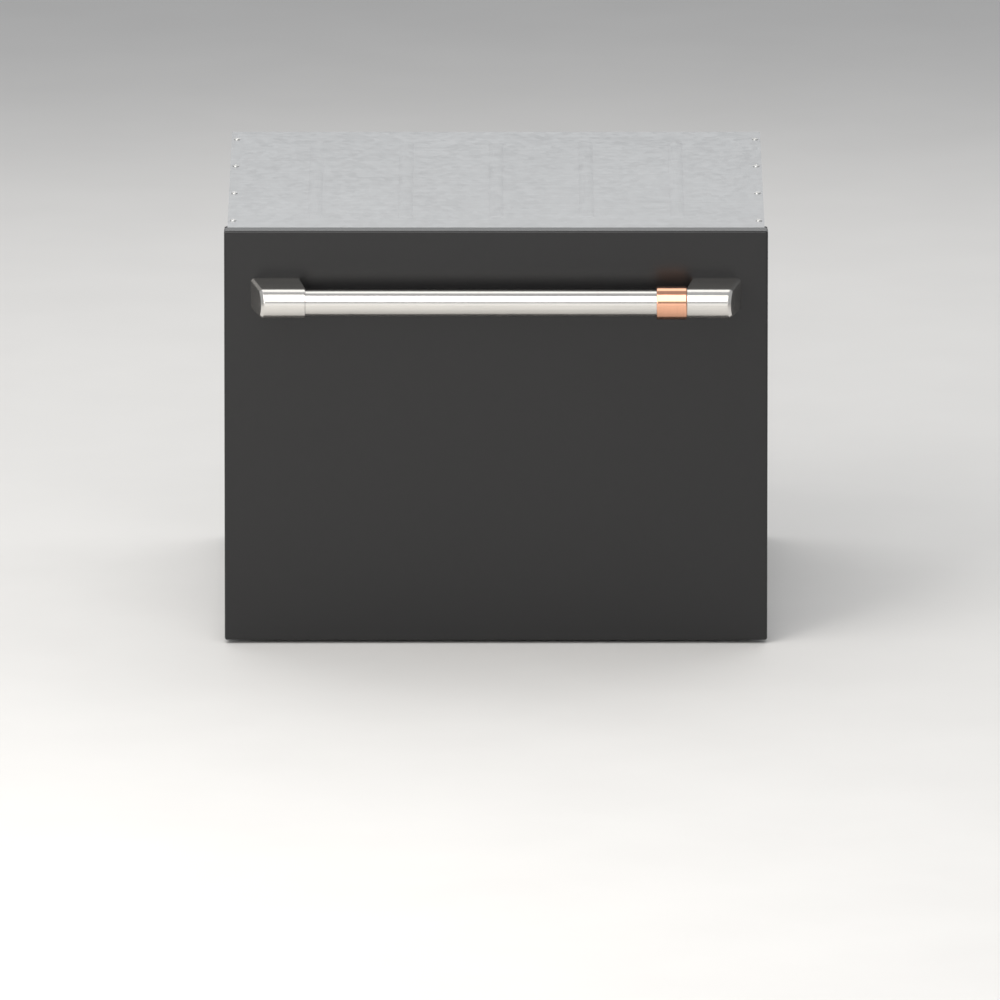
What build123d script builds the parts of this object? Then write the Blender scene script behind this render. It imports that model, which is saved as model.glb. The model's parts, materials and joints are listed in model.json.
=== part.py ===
"""Single-drawer built-in dishwasher, modelled piece by piece at its real size in millimetres.

+X is to the right seen from the front, +Y to the back and +Z up. While a piece is modelled, y is the distance
behind the face of the drawer front. `place` then moves it, so that the origin lies under the middle of the
whole appliance, handle included, on the surface that the feet stand on.
"""

from build123d import *
import os
from math import cos, pi, sin

# Overall sizes
OVERALL_HEIGHT = 465.0
DEPTH = 573.0
FRONT_WIDTH = 599.0
FRONT_BOTTOM = 4.0
FRONT_THICKNESS = 20.0
FRONT_GAP = 3.0
SIDE_REVEAL = 3.5
TOP_REVEAL = 2.0
FOOT_HEIGHT = 14.0

# Fits
FIT = 0.3
PIN_FIT = 0.05
RUNNING_GAP = 0.3
SIDE_PLAY = 0.8

# Sheet metal
SHEET = 1.0
BASE_SHEET = 1.2
FLANGE = 12.0
TOP_LIP = 10.0
BASE_LIP = 7.0

# Drawer front
SKIN = 1.0
SKIN_EDGE_RADIUS = 2.5
BACKING = 2.5
PAD_MARGIN = 28.0
PAD_TOP_MARGIN = 96.0
BRACKET_INSET = 71.0
BRACKET_WIDTH = 32.0
BRACKET_SHEET = 2.0
BRACKET_Z = (120.0, 290.0)

# Handle
HANDLE_DROP = 71.2
HANDLE_REACH = 47.2
BAR_DIAMETER = 29.0
BAR_WALL = 1.5
END_DIAMETER = 33.2
HANDLE_INSET = 38.6
END_LENGTH = 50.9
END_CHAMFER = 2.8
BASE_FLARE_OUT = 9.2
BASE_FLARE_IN = 7.0
BASE_FLARE_UP = 1.6
PLUG_LENGTH = 22.0
RING_DIAMETER = 36.4
RING_LENGTH = 33.0
RING_EDGE_RADIUS = 0.8
HANDLE_SCREW_DIAMETER = 5.0
HANDLE_SCREW_HEAD = (10.0, 3.0)
HANDLE_SCREW_GRIP = 15.0
HANDLE_SCREW_SPREAD = 15.0

# Control panel on the top ledge behind the front
PANEL_DEPTH = 27.0
PANEL_HEIGHT = 37.5
PANEL_WALL = 2.5
PANEL_INSET = 37.5
PANEL_POST_MARGIN = 12.4
PANEL_STAND = 0.5
BUTTON = (22.0, 9.0)
BUTTON_PITCH = 62.0
BUTTON_COUNT = 4
BUTTON_PROUD = 1.0
BUTTON_TRAVEL = 1.0
BUTTON_CORNER = 2.0
BUTTON_FLANGE = 1.5
BOARD = 1.6
BOARD_DROP = 12.0
SWITCH = (6.0, 4.0)

# Runners
RUNNER_Z = 150.0
RUNNER_HEIGHT = 46.0
RUNNER_DEPTH = 13.5
RUNNER_WALL = 1.5
RUNNER_STAND = 0.5
OUTER_RUNNER_LENGTH = 500.0
MIDDLE_RUNNER_LENGTH = 480.0
INNER_RUNNER_LENGTH = 440.0
RUNNER_SETBACK = 4.0

# Tub
MACHINERY_HEIGHT = 76.0
LID_SPACE = 54.0
REAR_SPACE = 39.0
TUB_WALL = 3.0
TUB_CORNER = 50.0
TUB_FLOOR_RADIUS = 30.0
RIM = 7.0
RIM_THICKNESS = 6.0
RIM_GAP = 2.0
TUB_PAD = 5.0
TUB_PAD_LENGTH = 60.0
SUMP_RADIUS = 120.0
SUMP_DEPTH = 16.0

# Pump, heater and filters
TOWER_RADIUS = 15.7
TOWER_HEIGHT = 22.0
SPINDLE_RADIUS = 5.0
SPINDLE_HEIGHT = 18.0
PUMP_RADIUS = 44.0
PUMP_HEIGHT = 22.0
PUMP_WALL = 3.0
CHAMBER_RADIUS = 34.0
IMPELLER_RADIUS = 30.0
IMPELLER_BLADES = 6
SHAFT_RADIUS = 3.0
MOTOR_RADIUS = 50.0
MOTOR_HEIGHT = 26.0
DRAIN_PUMP = (24.0, 58.0)
DRAIN_PUMP_X = -165.0
HEATER_RADIUS = 108.0
HEATER_ROD = 3.5
FILTER_RADIUS = 130.0
FILTER_SHEET = 2.0
DRAIN_FILTER_RADIUS = 26.0
DRAIN_FILTER_X = 65.0
DRAIN_FILTER_DEPTH = 13.0
DRAIN_FILTER_FLANGE = (31.0, 2.5)
DRAIN_FILTER_GRIP = 4.5

# Spray arm
ARM_REACH = 215.0
ARM_ROOT = 23.0
ARM_TIP = 13.0
ARM_THICKNESS = 12.0
ARM_RISE = 8.0
ARM_EDGE = 3.5
HUB_RADIUS = 21.0
HUB_HEIGHT = 25.0
JET_RADIUS = 1.6
JET_PITCH = 27.0
JETS_PER_SIDE = 7

# Rack, tines and shelves
RACK_RISE = 38.0
RACK_MARGIN = 21.0
RACK_END_MARGIN = 17.0
RACK_HEIGHT = 120.0
RACK_WIRE = 2.0
RACK_RIM_WIRE = 2.5
RACK_WELD = 0.05
RACK_BEND = 20.0
RACK_CROSS_WIRES = 10
RACK_LONG_WIRES = 10
LONG_WIRE_MARGIN = 27.0
RACK_FOOT_RADIUS = 9.0
RACK_FOOT_INSET = 34.0
TINE_WIRE = 1.9
TINE_ROD = 2.2
TINE_HEIGHT = 85.0
TINE_ROW_OFFSET = 65.0
CLIP = (10.0, 12.0, 5.0)
SHELF_REACH = 96.0
SHELF_STAND = 7.0
SHELF_THICKNESS = 3.0
SHELF_OVERHANG = 26.0
SHELF_SLOTS = 9
SHELF_BARREL = 5.0
SHELF_BARREL_LENGTH = 20.0
SHELF_BARREL_GAPS = (1, 4, 7)

# Cutlery basket
BASKET_HALF = 112.0
BASKET_DEPTH = 62.0
BASKET_HEIGHT = 106.0
BASKET_WALL = 2.2
BASKET_CELLS = 4
BASKET_SLOTS_PER_CELL = 4
BASKET_SLOT = 6.0
BASKET_GRIP_HEIGHT = 142.0
BASKET_GRIP_HALF = 40.0
BASKET_FRONT_GAP = 2.0
BASKET_FOOT_BAND = 11.0
BASKET_HEAD_BAND = 8.8

# Detergent dispenser
DISPENSER_X = (-75.0, 75.0)
DISPENSER_HEIGHT = 80.0
DISPENSER_TOP_MARGIN = 18.0
DISPENSER_DEPTH = 20.0
DISPENSER_FLANGE = (4.0, 2.5)
CUP_X = (-64.0, 4.0)
CUP_HEIGHT = 60.0
FLAP_AXIS_DROP = 3.0
CUP_DEPTH = 16.0
FLAP_THICKNESS = 3.0
FLAP_BARREL = 2.8
FLAP_PIN = 1.5
FLAP_EAR = 3.5
RINSE_X = 41.0
RINSE_RADIUS = 14.2
RINSE_DEPTH = 6.0
RINSE_PROUD = 3.0
RINSE_GRIP = (5.0, 6.0)

# Lid and its lift
LID_TRAVEL = 12.0
SEAL_HEIGHT = 6.0
SEAL_WIDTH = 7.0
LID_SHEET = 3.0
LID_MARGIN = 1.0
LID_SKIRT = 17.7
LID_RIB = 11.0
LID_PIN = 3.0
GUIDE_BLOCK = (30.0, 12.0)
GUIDE_INSET = 62.0
ACTUATOR = (60.0, 25.0)
ROD_RADIUS = 3.0
LUG_THICKNESS = 5.2
LUG_LENGTH = 14.0
LUG_EDGE = 3.6
ROD_COLLAR = 4.8
GUIDE_PLAY = 1.5

# Hose arms behind the tub
PIVOT_INSET = 80.0
ELBOW_INSET = 46.0
HOSE_ARM_WIDTH = 18.0
HOSE_ARM_HEIGHT = 24.0
HOSE_ARM_WALL = 2.0
HOSE_EYE_RADIUS = 12.0
HOSE_OPEN_EYE = (14.0, 9.0)
HOSE_PIN = 4.0
HOSE_TUB_PIN = 3.0
HOSE_ARM_Z = 60.0
HOSE_ARM_GAP = 2.0
HOSE_PIVOT_SETBACK = 20.0
PIVOT_PLATE = 3.0

# Chassis fittings
FOOT_PAD = (18.0, 5.0)
FOOT_HEX = (9.0, 5.0)
FOOT_STUD = 4.0
FOOT_STUD_LENGTH = 17.0
FOOT_BOSS = (9.0, 10.0)
FOOT_INSET = (31.0, 36.0)
EDGE_SEAL = (3.0, 14.0)
FIXING_PLATE = (1.5, 30.0, 70.0)
FIXING_SETBACK = 22.0
FIXING_DROP = 54.0
FIXING_HOLE = 2.3
FIXING_HOLE_PITCH = 40.0
FIXING_ACCESS = 5.0
FIXING_CORNER = 6.0
GROMMET_LIP = 2.0
GROMMET_FLANGE = 5.0
GROMMET_NECK = 2.5
GROMMET_INNER = 3.0
INLET_BORE = 8.0
DRAIN_BORE = 11.0
MAINS_BORE = 4.5
FITTING_Z = 34.0
INLET_INSET = 117.0
DRAIN_INSET = 59.0
MAINS_INSET = 45.0
POWER_MODULE = (180.0, 104.0, 34.0)
POWER_MODULE_INSET = 180.0
POWER_MODULE_STAND = 8.0
VALVE = (52.0, 46.0, 30.0)
VALVE_COIL = 13.0
CASE_RADIUS = 3.0
SCREW = 1.7
SCREW_HEAD = (3.6, 1.6)
SCREW_GRIP = 7.0
SCREW_FIT = 0.1
SCREW_EDGE = 6.0
TOP_SCREWS = 4
TOP_SCREW_INSET = 44.0
BACK_SCREWS = 3
BACK_SCREW_INSET = 67.0

# Planes across the appliance, worked out from the sizes above
CHASSIS_HALF = FRONT_WIDTH / 2 - SIDE_REVEAL
INNER_HALF = CHASSIS_HALF - SHEET
INNER_RUNNER_X = INNER_HALF - RUNNER_DEPTH - RUNNER_STAND
TUB_HALF = INNER_RUNNER_X - TUB_PAD
RIM_HALF = TUB_HALF + RIM
LID_HALF = RIM_HALF - LID_MARGIN
BRACKET_X = TUB_HALF - BRACKET_INSET
END_OUTER_X = FRONT_WIDTH / 2 - HANDLE_INSET
END_INNER_X = END_OUTER_X - END_LENGTH
PANEL_HALF = FRONT_WIDTH / 2 - PANEL_INSET
ARM_PIVOT_X = PIVOT_INSET - INNER_HALF
ELBOW_X = INNER_HALF - ELBOW_INSET
INLET_X = INNER_HALF - INLET_INSET
DRAIN_X = INNER_HALF - DRAIN_INSET
MAINS_X = MAINS_INSET - INNER_HALF
POWER_MODULE_X = POWER_MODULE_INSET - INNER_HALF

# Heights
CHASSIS_TOP = OVERALL_HEIGHT - TOP_REVEAL
SIDE_TOP = CHASSIS_TOP - SHEET
BASE_BOTTOM = FOOT_HEIGHT + SHEET
BASE_TOP = BASE_BOTTOM + BASE_SHEET
FLOOR_Z = BASE_TOP + MACHINERY_HEIGHT
FLOOR_UNDER = FLOOR_Z - TUB_WALL
SUMP_FLOOR = FLOOR_Z - SUMP_DEPTH
SUMP_UNDER = SUMP_FLOOR - TUB_WALL
RIM_Z = CHASSIS_TOP - LID_SPACE
PANEL_BOTTOM = RIM_Z + PANEL_STAND
PANEL_TOP = PANEL_BOTTOM + PANEL_HEIGHT
HANDLE_Z = OVERALL_HEIGHT - HANDLE_DROP
SEAL_BOTTOM = RIM_Z + LID_TRAVEL + FIT
LID_BOTTOM = SEAL_BOTTOM + SEAL_HEIGHT
LID_TOP = LID_BOTTOM + LID_SKIRT
LID_PIN_Z = LID_BOTTOM + LID_SKIRT / 2
TOWER_TOP = SUMP_FLOOR + TOWER_HEIGHT
RACK_FLOOR = FLOOR_Z + RACK_RISE
LONG_WIRE_Z = RACK_FLOOR + 2 * RACK_WIRE + RACK_WELD
WIRE_TOP = LONG_WIRE_Z + RACK_WIRE
RACK_RIM_Z = RACK_FLOOR + RACK_HEIGHT
TINE_AXIS_Z = WIRE_TOP + TINE_ROD + FIT
DISPENSER_TOP = RIM_Z - DISPENSER_TOP_MARGIN
DISPENSER_BOTTOM = DISPENSER_TOP - DISPENSER_HEIGHT
DISPENSER_MID = (DISPENSER_TOP + DISPENSER_BOTTOM) / 2
FLAP_AXIS_Z = DISPENSER_MID - CUP_HEIGHT / 2 - FLAP_AXIS_DROP

# Depths behind the face of the front
CHASSIS_FRONT = FRONT_THICKNESS + FRONT_GAP
BACK_OUTER = DEPTH - GROMMET_LIP
BACK_INNER = BACK_OUTER - SHEET
PANEL_BACK = FRONT_THICKNESS + PANEL_DEPTH
RIM_FRONT = PANEL_BACK + RIM_GAP
TUB_FRONT = RIM_FRONT + RIM
TUB_BACK = BACK_INNER - REAR_SPACE
RIM_BACK = TUB_BACK + RIM
TUB_MID = (TUB_FRONT + TUB_BACK) / 2
TUB_INNER_FRONT = TUB_FRONT + TUB_WALL
FLANGE_FACE = TUB_INNER_FRONT + DISPENSER_FLANGE[1]
FLAP_AXIS_Y = FLANGE_FACE + FLAP_BARREL + FIT
RACK_HALF = TUB_HALF - TUB_WALL - RACK_MARGIN
RACK_FRONT = TUB_INNER_FRONT + RACK_END_MARGIN
RACK_BACK = TUB_BACK - TUB_WALL - RACK_END_MARGIN
HOSE_PIVOT_Y = TUB_BACK + HOSE_PIVOT_SETBACK
FRONT_ARM_Z = HOSE_ARM_Z + HOSE_ARM_HEIGHT + HOSE_ARM_GAP
FRONT_ARM_TOP = FRONT_ARM_Z + HOSE_ARM_HEIGHT

# The handle stands out furthest, so it decides where the middle of the appliance lies
TOTAL_DEPTH = DEPTH + HANDLE_REACH + RING_DIAMETER / 2
FACE_Y = HANDLE_REACH + RING_DIAMETER / 2 - TOTAL_DEPTH / 2


def block(x, y, z):
    """A box between a low and a high value along each axis."""
    ranges = (x, y, z)
    centre = [(low + high) / 2 for low, high in ranges]
    return Pos(*centre) * Box(*[high - low for low, high in ranges])


def upright(radius, x, y, z):
    """A vertical cylinder over a range of heights."""
    return Pos(x, y, sum(z) / 2) * Cylinder(radius, z[1] - z[0])


def crosswise(radius, x, y, z):
    """A cylinder along X over a range of x."""
    return Pos(sum(x) / 2, y, z) * Rot(0, 90, 0) * Cylinder(radius, x[1] - x[0])


def lengthwise(radius, x, y, z):
    """A cylinder along Y over a range of depths."""
    return Pos(x, sum(y) / 2, z) * Rot(90, 0, 0) * Cylinder(radius, y[1] - y[0])


def slab(half_width, y, corner, z):
    """A rounded rectangle, centred on x = 0, over a range of heights."""
    outline = RectangleRounded(2 * half_width, y[1] - y[0], corner)
    return Pos(0, sum(y) / 2, z[0]) * extrude(outline, z[1] - z[0])


def around(centre, half):
    """The range that lies evenly about a centre."""
    return (centre - half, centre + half)


def left_of(piece):
    """The mirror image of a piece, on the other side of the appliance."""
    return mirror(piece, Plane.YZ)


def both_sides(piece):
    """A piece and its mirror image, as two separate solids."""
    return group([piece, left_of(piece)])


def group(pieces):
    """Separate solids in one node."""
    return Compound([solid for piece in pieces for solid in piece.solids()])


def wire(points, radius, bend):
    """A bent wire along a line of points."""
    path = FilletPolyline(*points, radius=bend)
    return sweep(Plane(path @ 0, z_dir=path % 0) * Circle(radius), path=path)


def spaced(count, pitch, centre=0.0):
    """Evenly spaced positions about a centre."""
    return [centre + (i - (count - 1) / 2) * pitch for i in range(count)]


# Drawer front


def handle_screw_places():
    """X of the screws that hold the right-hand end of the handle."""
    middle = (END_INNER_X + BASE_FLARE_IN + END_OUTER_X + BASE_FLARE_OUT) / 2
    return around(middle, HANDLE_SCREW_SPREAD)


def front_skin():
    """Folded and painted sheet: a flat face with its four edges turned back."""
    half = FRONT_WIDTH / 2
    skin = block((-half, half), (0, FRONT_THICKNESS), (FRONT_BOTTOM, OVERALL_HEIGHT))
    skin = fillet(skin.faces().sort_by(Axis.Y)[0].edges(), SKIN_EDGE_RADIUS)
    hollow = block(
        (SKIN - half, half - SKIN),
        (SKIN, FRONT_THICKNESS + SKIN),
        (FRONT_BOTTOM + SKIN, OVERALL_HEIGHT - SKIN),
    )
    inner_radius = SKIN_EDGE_RADIUS - SKIN
    skin -= fillet(hollow.faces().sort_by(Axis.Y)[0].edges(), inner_radius)
    hole = HANDLE_SCREW_DIAMETER / 2 + SCREW_FIT
    for x in handle_screw_places():
        for side in (-x, x):
            skin -= lengthwise(hole, side, (-SKIN, 2 * SKIN), HANDLE_Z)
    return skin


def front_backing():
    """Inner plate that closes the folded skin from behind."""
    half = FRONT_WIDTH / 2 - SKIN - FIT
    height = (FRONT_BOTTOM + SKIN + FIT, OVERALL_HEIGHT - SKIN - FIT)
    return block((-half, half), (FRONT_THICKNESS - BACKING, FRONT_THICKNESS), height)


def front_sound_pad():
    """Sound-deadening pad between the skin and the inner plate, below the handle's screws."""
    half = FRONT_WIDTH / 2 - PAD_MARGIN
    height = (FRONT_BOTTOM + PAD_MARGIN, OVERALL_HEIGHT - PAD_TOP_MARGIN)
    return block((-half, half), (SKIN, FRONT_THICKNESS - BACKING), height)


def front_brackets():
    """Two Z-section brackets that carry the front on the tub."""
    web = block(around(BRACKET_X, BRACKET_SHEET / 2), (FRONT_THICKNESS, TUB_FRONT), BRACKET_Z)
    inner = BRACKET_X - BRACKET_WIDTH / 2
    outer = BRACKET_X + BRACKET_WIDTH / 2
    front_foot = block((BRACKET_X, outer), (FRONT_THICKNESS, FRONT_THICKNESS + BRACKET_SHEET), BRACKET_Z)
    tub_foot = block((inner, BRACKET_X), (TUB_FRONT - BRACKET_SHEET, TUB_FRONT), BRACKET_Z)
    return both_sides(web + front_foot + tub_foot)


# Handle


def handle_bar():
    """Straight tube between the two ends."""
    reach = (FIT - END_INNER_X, END_INNER_X - FIT)
    tube = crosswise(BAR_DIAMETER / 2, reach, -HANDLE_REACH, HANDLE_Z)
    return tube - crosswise(BAR_DIAMETER / 2 - BAR_WALL, reach, -HANDLE_REACH, HANDLE_Z)


def right_handle_end():
    """Standoff: round at the bar, flat on top and below, and flared on every side to its foot on the front."""
    radius = END_DIAMETER / 2
    foot = radius + BASE_FLARE_UP
    round_end = Pos(-HANDLE_REACH, 0) * Circle(radius)
    foot_line = Edge.make_line((0, -foot), (0, foot))
    side_view = Plane.YZ * make_hull(round_end.edges() + [foot_line])
    body = Pos(0, 0, HANDLE_Z) * extrude(side_view, END_OUTER_X + 2 * BASE_FLARE_OUT)
    nose = -HANDLE_REACH - END_DIAMETER
    outer_slope = BASE_FLARE_OUT / HANDLE_REACH
    plan = Polygon(
        (END_INNER_X, nose),
        (END_OUTER_X - outer_slope * END_DIAMETER, nose),
        (END_OUTER_X + BASE_FLARE_OUT, 0),
        (END_INNER_X + BASE_FLARE_IN, 0),
        (END_INNER_X, -HANDLE_REACH),
        align=None,
    )
    body &= Pos(0, 0, HANDLE_Z - foot) * extrude(plan, 2 * foot)
    end_face = body.faces().sort_by(Axis.X)[-1]
    rim = [edge for edge in end_face.edges() if edge.center().Y < -FIT]
    body = chamfer(rim, END_CHAMFER)
    plug_radius = BAR_DIAMETER / 2 - BAR_WALL - PIN_FIT
    plug_span = (END_INNER_X - PLUG_LENGTH, END_INNER_X + PLUG_LENGTH / 2)
    body += crosswise(plug_radius, plug_span, -HANDLE_REACH, HANDLE_Z)
    hole = HANDLE_SCREW_DIAMETER / 2 + PIN_FIT
    for x in handle_screw_places():
        body -= lengthwise(hole, x, (-HANDLE_SCREW_GRIP - SCREW_FIT, SKIN), HANDLE_Z)
    return body


def handle_ring():
    """Plain accent sleeve on the bar, beside the right-hand end."""
    reach = (END_INNER_X - FIT - RING_LENGTH, END_INNER_X - FIT)
    ring = crosswise(RING_DIAMETER / 2, reach, -HANDLE_REACH, HANDLE_Z)
    ring = fillet(ring.edges().filter_by(GeomType.CIRCLE), RING_EDGE_RADIUS)
    return ring - crosswise(BAR_DIAMETER / 2 + PIN_FIT, reach, -HANDLE_REACH, HANDLE_Z)


def handle_screws():
    """Screws from inside the front into the handle's ends."""
    head_radius = HANDLE_SCREW_HEAD[0] / 2
    screws = []
    for x in handle_screw_places():
        head = lengthwise(head_radius, x, (SKIN, SKIN + HANDLE_SCREW_HEAD[1]), HANDLE_Z)
        shank = lengthwise(HANDLE_SCREW_DIAMETER / 2, x, (-HANDLE_SCREW_GRIP, SKIN), HANDLE_Z)
        screws += [head + shank, left_of(head + shank)]
    return group(screws)


# Control panel


def button_places():
    """X of the push buttons along the control panel."""
    return spaced(BUTTON_COUNT, BUTTON_PITCH)


def panel_mid():
    """Depth of the middle of the control panel."""
    return FRONT_THICKNESS + PANEL_DEPTH / 2


def board_top():
    """Height of the upper face of the circuit board."""
    return PANEL_TOP - BOARD_DROP


def control_panel():
    """Hollow ledge, open below, with a slot for each button and posts for the board."""
    depth = (FRONT_THICKNESS, PANEL_BACK)
    panel = block((-PANEL_HALF, PANEL_HALF), depth, (PANEL_BOTTOM, PANEL_TOP))
    panel -= block(
        (PANEL_WALL - PANEL_HALF, PANEL_HALF - PANEL_WALL),
        (depth[0] + PANEL_WALL, depth[1] - PANEL_WALL),
        (PANEL_BOTTOM - PANEL_WALL, PANEL_TOP - PANEL_WALL),
    )
    slot = RectangleRounded(BUTTON[0] + 2 * FIT, BUTTON[1] + 2 * FIT, BUTTON_CORNER + FIT)
    for x in button_places():
        panel -= Pos(x, panel_mid(), PANEL_TOP - 2 * PANEL_WALL) * extrude(slot, 3 * PANEL_WALL)
    post_x = BUTTON_COUNT / 2 * BUTTON_PITCH + PANEL_POST_MARGIN
    for x in (-post_x, post_x):
        panel += upright(SWITCH[0] / 2, x, panel_mid(), (board_top(), PANEL_TOP - PANEL_WALL / 2))
    return panel


def control_board():
    """Circuit board under the panel, with a switch below each button."""
    half = (BUTTON_COUNT / 2 + 0.5) * BUTTON_PITCH
    depth = around(panel_mid(), PANEL_DEPTH / 2 - PANEL_WALL - FIT)
    board = block((-half, half), depth, (board_top() - BOARD, board_top()))
    for x in button_places():
        sides = around(x, SWITCH[0] / 2), around(panel_mid(), SWITCH[0] / 2)
        board += block(*sides, (board_top(), board_top() + SWITCH[1]))
    return board


def button(x):
    """Push button: a cap in its slot, a flange that keeps it in, and a stem over the switch."""
    seat = PANEL_TOP - PANEL_WALL - FIT
    cap = extrude(RectangleRounded(BUTTON[0], BUTTON[1], BUTTON_CORNER), PANEL_TOP + BUTTON_PROUD - seat)
    cap = fillet(cap.faces().sort_by(Axis.Z)[-1].edges(), BUTTON_PROUD / 2)
    flange = extrude(RectangleRounded(BUTTON[0] + 4, BUTTON[1] + 4, BUTTON_CORNER), BUTTON_FLANGE)
    piece = Pos(x, panel_mid(), seat) * cap + Pos(x, panel_mid(), seat - BUTTON_FLANGE) * flange
    stem_bottom = board_top() + SWITCH[1] + BUTTON_TRAVEL + FIT
    return piece + upright(SWITCH[0] / 2, x, panel_mid(), (stem_bottom, seat))


# Tub and what is in its floor


def tub():
    """Moulded tub with a flanged rim, a round sump, side pads for the runners and a lug for the hose arm."""
    outer = slab(TUB_HALF, (TUB_FRONT, TUB_BACK), TUB_CORNER, (FLOOR_UNDER, RIM_Z))
    outer = fillet(outer.faces().sort_by(Axis.Z)[0].edges(), TUB_FLOOR_RADIUS)
    inner = slab(
        TUB_HALF - TUB_WALL,
        (TUB_INNER_FRONT, TUB_BACK - TUB_WALL),
        TUB_CORNER - TUB_WALL,
        (FLOOR_Z, RIM_Z + TUB_WALL),
    )
    inner = fillet(inner.faces().sort_by(Axis.Z)[0].edges(), TUB_FLOOR_RADIUS - TUB_WALL)
    rim_z = (RIM_Z - RIM_THICKNESS, RIM_Z)
    shell = outer + slab(RIM_HALF, (RIM_FRONT, RIM_BACK), TUB_CORNER + RIM, rim_z)
    shell += upright(SUMP_RADIUS + TUB_WALL, 0, TUB_MID, (SUMP_UNDER, FLOOR_Z))
    shell -= inner
    shell -= upright(SUMP_RADIUS, 0, TUB_MID, (SUMP_FLOOR, FLOOR_Z + TUB_WALL))
    shell -= upright(TOWER_RADIUS + FIT, 0, TUB_MID, (SUMP_UNDER - TUB_WALL, FLOOR_Z))
    pad_z = around(RUNNER_Z, RUNNER_HEIGHT / 2 - 2 * RUNNER_WALL - 2 * RUNNING_GAP)
    for y in spaced(3, (INNER_RUNNER_LENGTH - TUB_PAD_LENGTH) / 2, TUB_MID):
        pad = block((TUB_HALF - TUB_WALL / 2, INNER_RUNNER_X), around(y, TUB_PAD_LENGTH / 2), pad_z)
        shell += pad + left_of(pad)
    window = DISPENSER_X[0] - FIT, DISPENSER_X[1] + FIT
    window_z = (DISPENSER_BOTTOM - FIT, DISPENSER_TOP + FIT)
    shell -= block(window, (TUB_FRONT - TUB_WALL, TUB_INNER_FRONT + TUB_WALL), window_z)
    lug_z = (FRONT_ARM_TOP + HOSE_ARM_GAP, FRONT_ARM_TOP + HOSE_ARM_GAP + PIVOT_PLATE + 1)
    lug_back = HOSE_PIVOT_Y + HOSE_EYE_RADIUS
    shell += block(around(ARM_PIVOT_X, HOSE_EYE_RADIUS), (TUB_BACK - TUB_WALL / 2, lug_back), lug_z)
    shell += upright(HOSE_TUB_PIN, ARM_PIVOT_X, HOSE_PIVOT_Y, (FRONT_ARM_Z + HOSE_ARM_GAP, lug_z[1]))
    return shell


def pump_housing():
    """Pump chamber under the sump, with the tower and spindle that carry the spray arm."""
    bottom = SUMP_UNDER - PUMP_HEIGHT
    body = upright(PUMP_RADIUS, 0, TUB_MID, (bottom, SUMP_UNDER))
    body += upright(TOWER_RADIUS, 0, TUB_MID, (SUMP_UNDER, TOWER_TOP))
    body += upright(SPINDLE_RADIUS, 0, TUB_MID, (TOWER_TOP, TOWER_TOP + SPINDLE_HEIGHT))
    body -= upright(CHAMBER_RADIUS, 0, TUB_MID, (bottom + PUMP_WALL, SUMP_UNDER - PUMP_WALL))
    return body - upright(SHAFT_RADIUS + 1, 0, TUB_MID, (bottom - PUMP_WALL, bottom + 2 * PUMP_WALL))


def wash_motor():
    """Motor under the pump, with its shaft through the chamber floor."""
    top = SUMP_UNDER - PUMP_HEIGHT
    motor = upright(MOTOR_RADIUS, 0, TUB_MID, (top - MOTOR_HEIGHT, top))
    motor = chamfer(motor.faces().sort_by(Axis.Z)[0].edges(), CASE_RADIUS)
    shaft_top = SUMP_UNDER - 2 * PUMP_WALL
    return motor + upright(SHAFT_RADIUS, 0, TUB_MID, (top, shaft_top))


def impeller():
    """Bladed wheel on the motor's shaft."""
    low = SUMP_UNDER - PUMP_HEIGHT + 2 * PUMP_WALL
    high = SUMP_UNDER - 2 * PUMP_WALL
    hub = SHAFT_RADIUS + 4
    wheel = upright(IMPELLER_RADIUS, 0, TUB_MID, (low, low + 2)) + upright(hub, 0, TUB_MID, (low, high))
    blade = block((hub - 1, IMPELLER_RADIUS - 1), (-1, 1), (low + 1, high))
    for i in range(IMPELLER_BLADES):
        wheel += Pos(0, TUB_MID, 0) * Rot(0, 0, 360 * i / IMPELLER_BLADES) * blade
    return wheel - upright(SHAFT_RADIUS + PIN_FIT, 0, TUB_MID, (low - 1, high + 1))


def drain_pump():
    """Small upright pump hung under the tub's floor."""
    radius, height = DRAIN_PUMP
    top = FLOOR_UNDER - FIT
    body = upright(radius, DRAIN_PUMP_X, TUB_MID, (top - height, top))
    return fillet(body.faces().sort_by(Axis.Z)[0].edges(), CASE_RADIUS)


def heater_ring():
    """Heating rod bent round the sump."""
    return Pos(0, TUB_MID, SUMP_FLOOR + HEATER_ROD + FIT) * Torus(HEATER_RADIUS, HEATER_ROD)


def filter_plate():
    """Round plate over the sump, with openings for the tower and the drain filter."""
    height = (FLOOR_Z, FLOOR_Z + FILTER_SHEET)
    plate = upright(FILTER_RADIUS, 0, TUB_MID, height)
    plate -= upright(TOWER_RADIUS + FIT, 0, TUB_MID, height)
    return plate - upright(DRAIN_FILTER_RADIUS + FIT, DRAIN_FILTER_X, TUB_MID, height)


def drain_filter():
    """Filter cup that hangs in the plate by its flange and turns out by its grip."""
    radius, thickness = DRAIN_FILTER_FLANGE
    top = FLOOR_Z + FILTER_SHEET
    low = top - DRAIN_FILTER_DEPTH
    cup = upright(DRAIN_FILTER_RADIUS, DRAIN_FILTER_X, TUB_MID, (low, top))
    cup += upright(radius, DRAIN_FILTER_X, TUB_MID, (top, top + thickness))
    wall = TUB_WALL / 2
    cup -= upright(DRAIN_FILTER_RADIUS - wall, DRAIN_FILTER_X, TUB_MID, (low + wall, top + 2 * thickness))
    grip_z = (top, top + thickness + DRAIN_FILTER_GRIP)
    return cup + block(around(DRAIN_FILTER_X, radius - thickness), around(TUB_MID, wall), grip_z)


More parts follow.
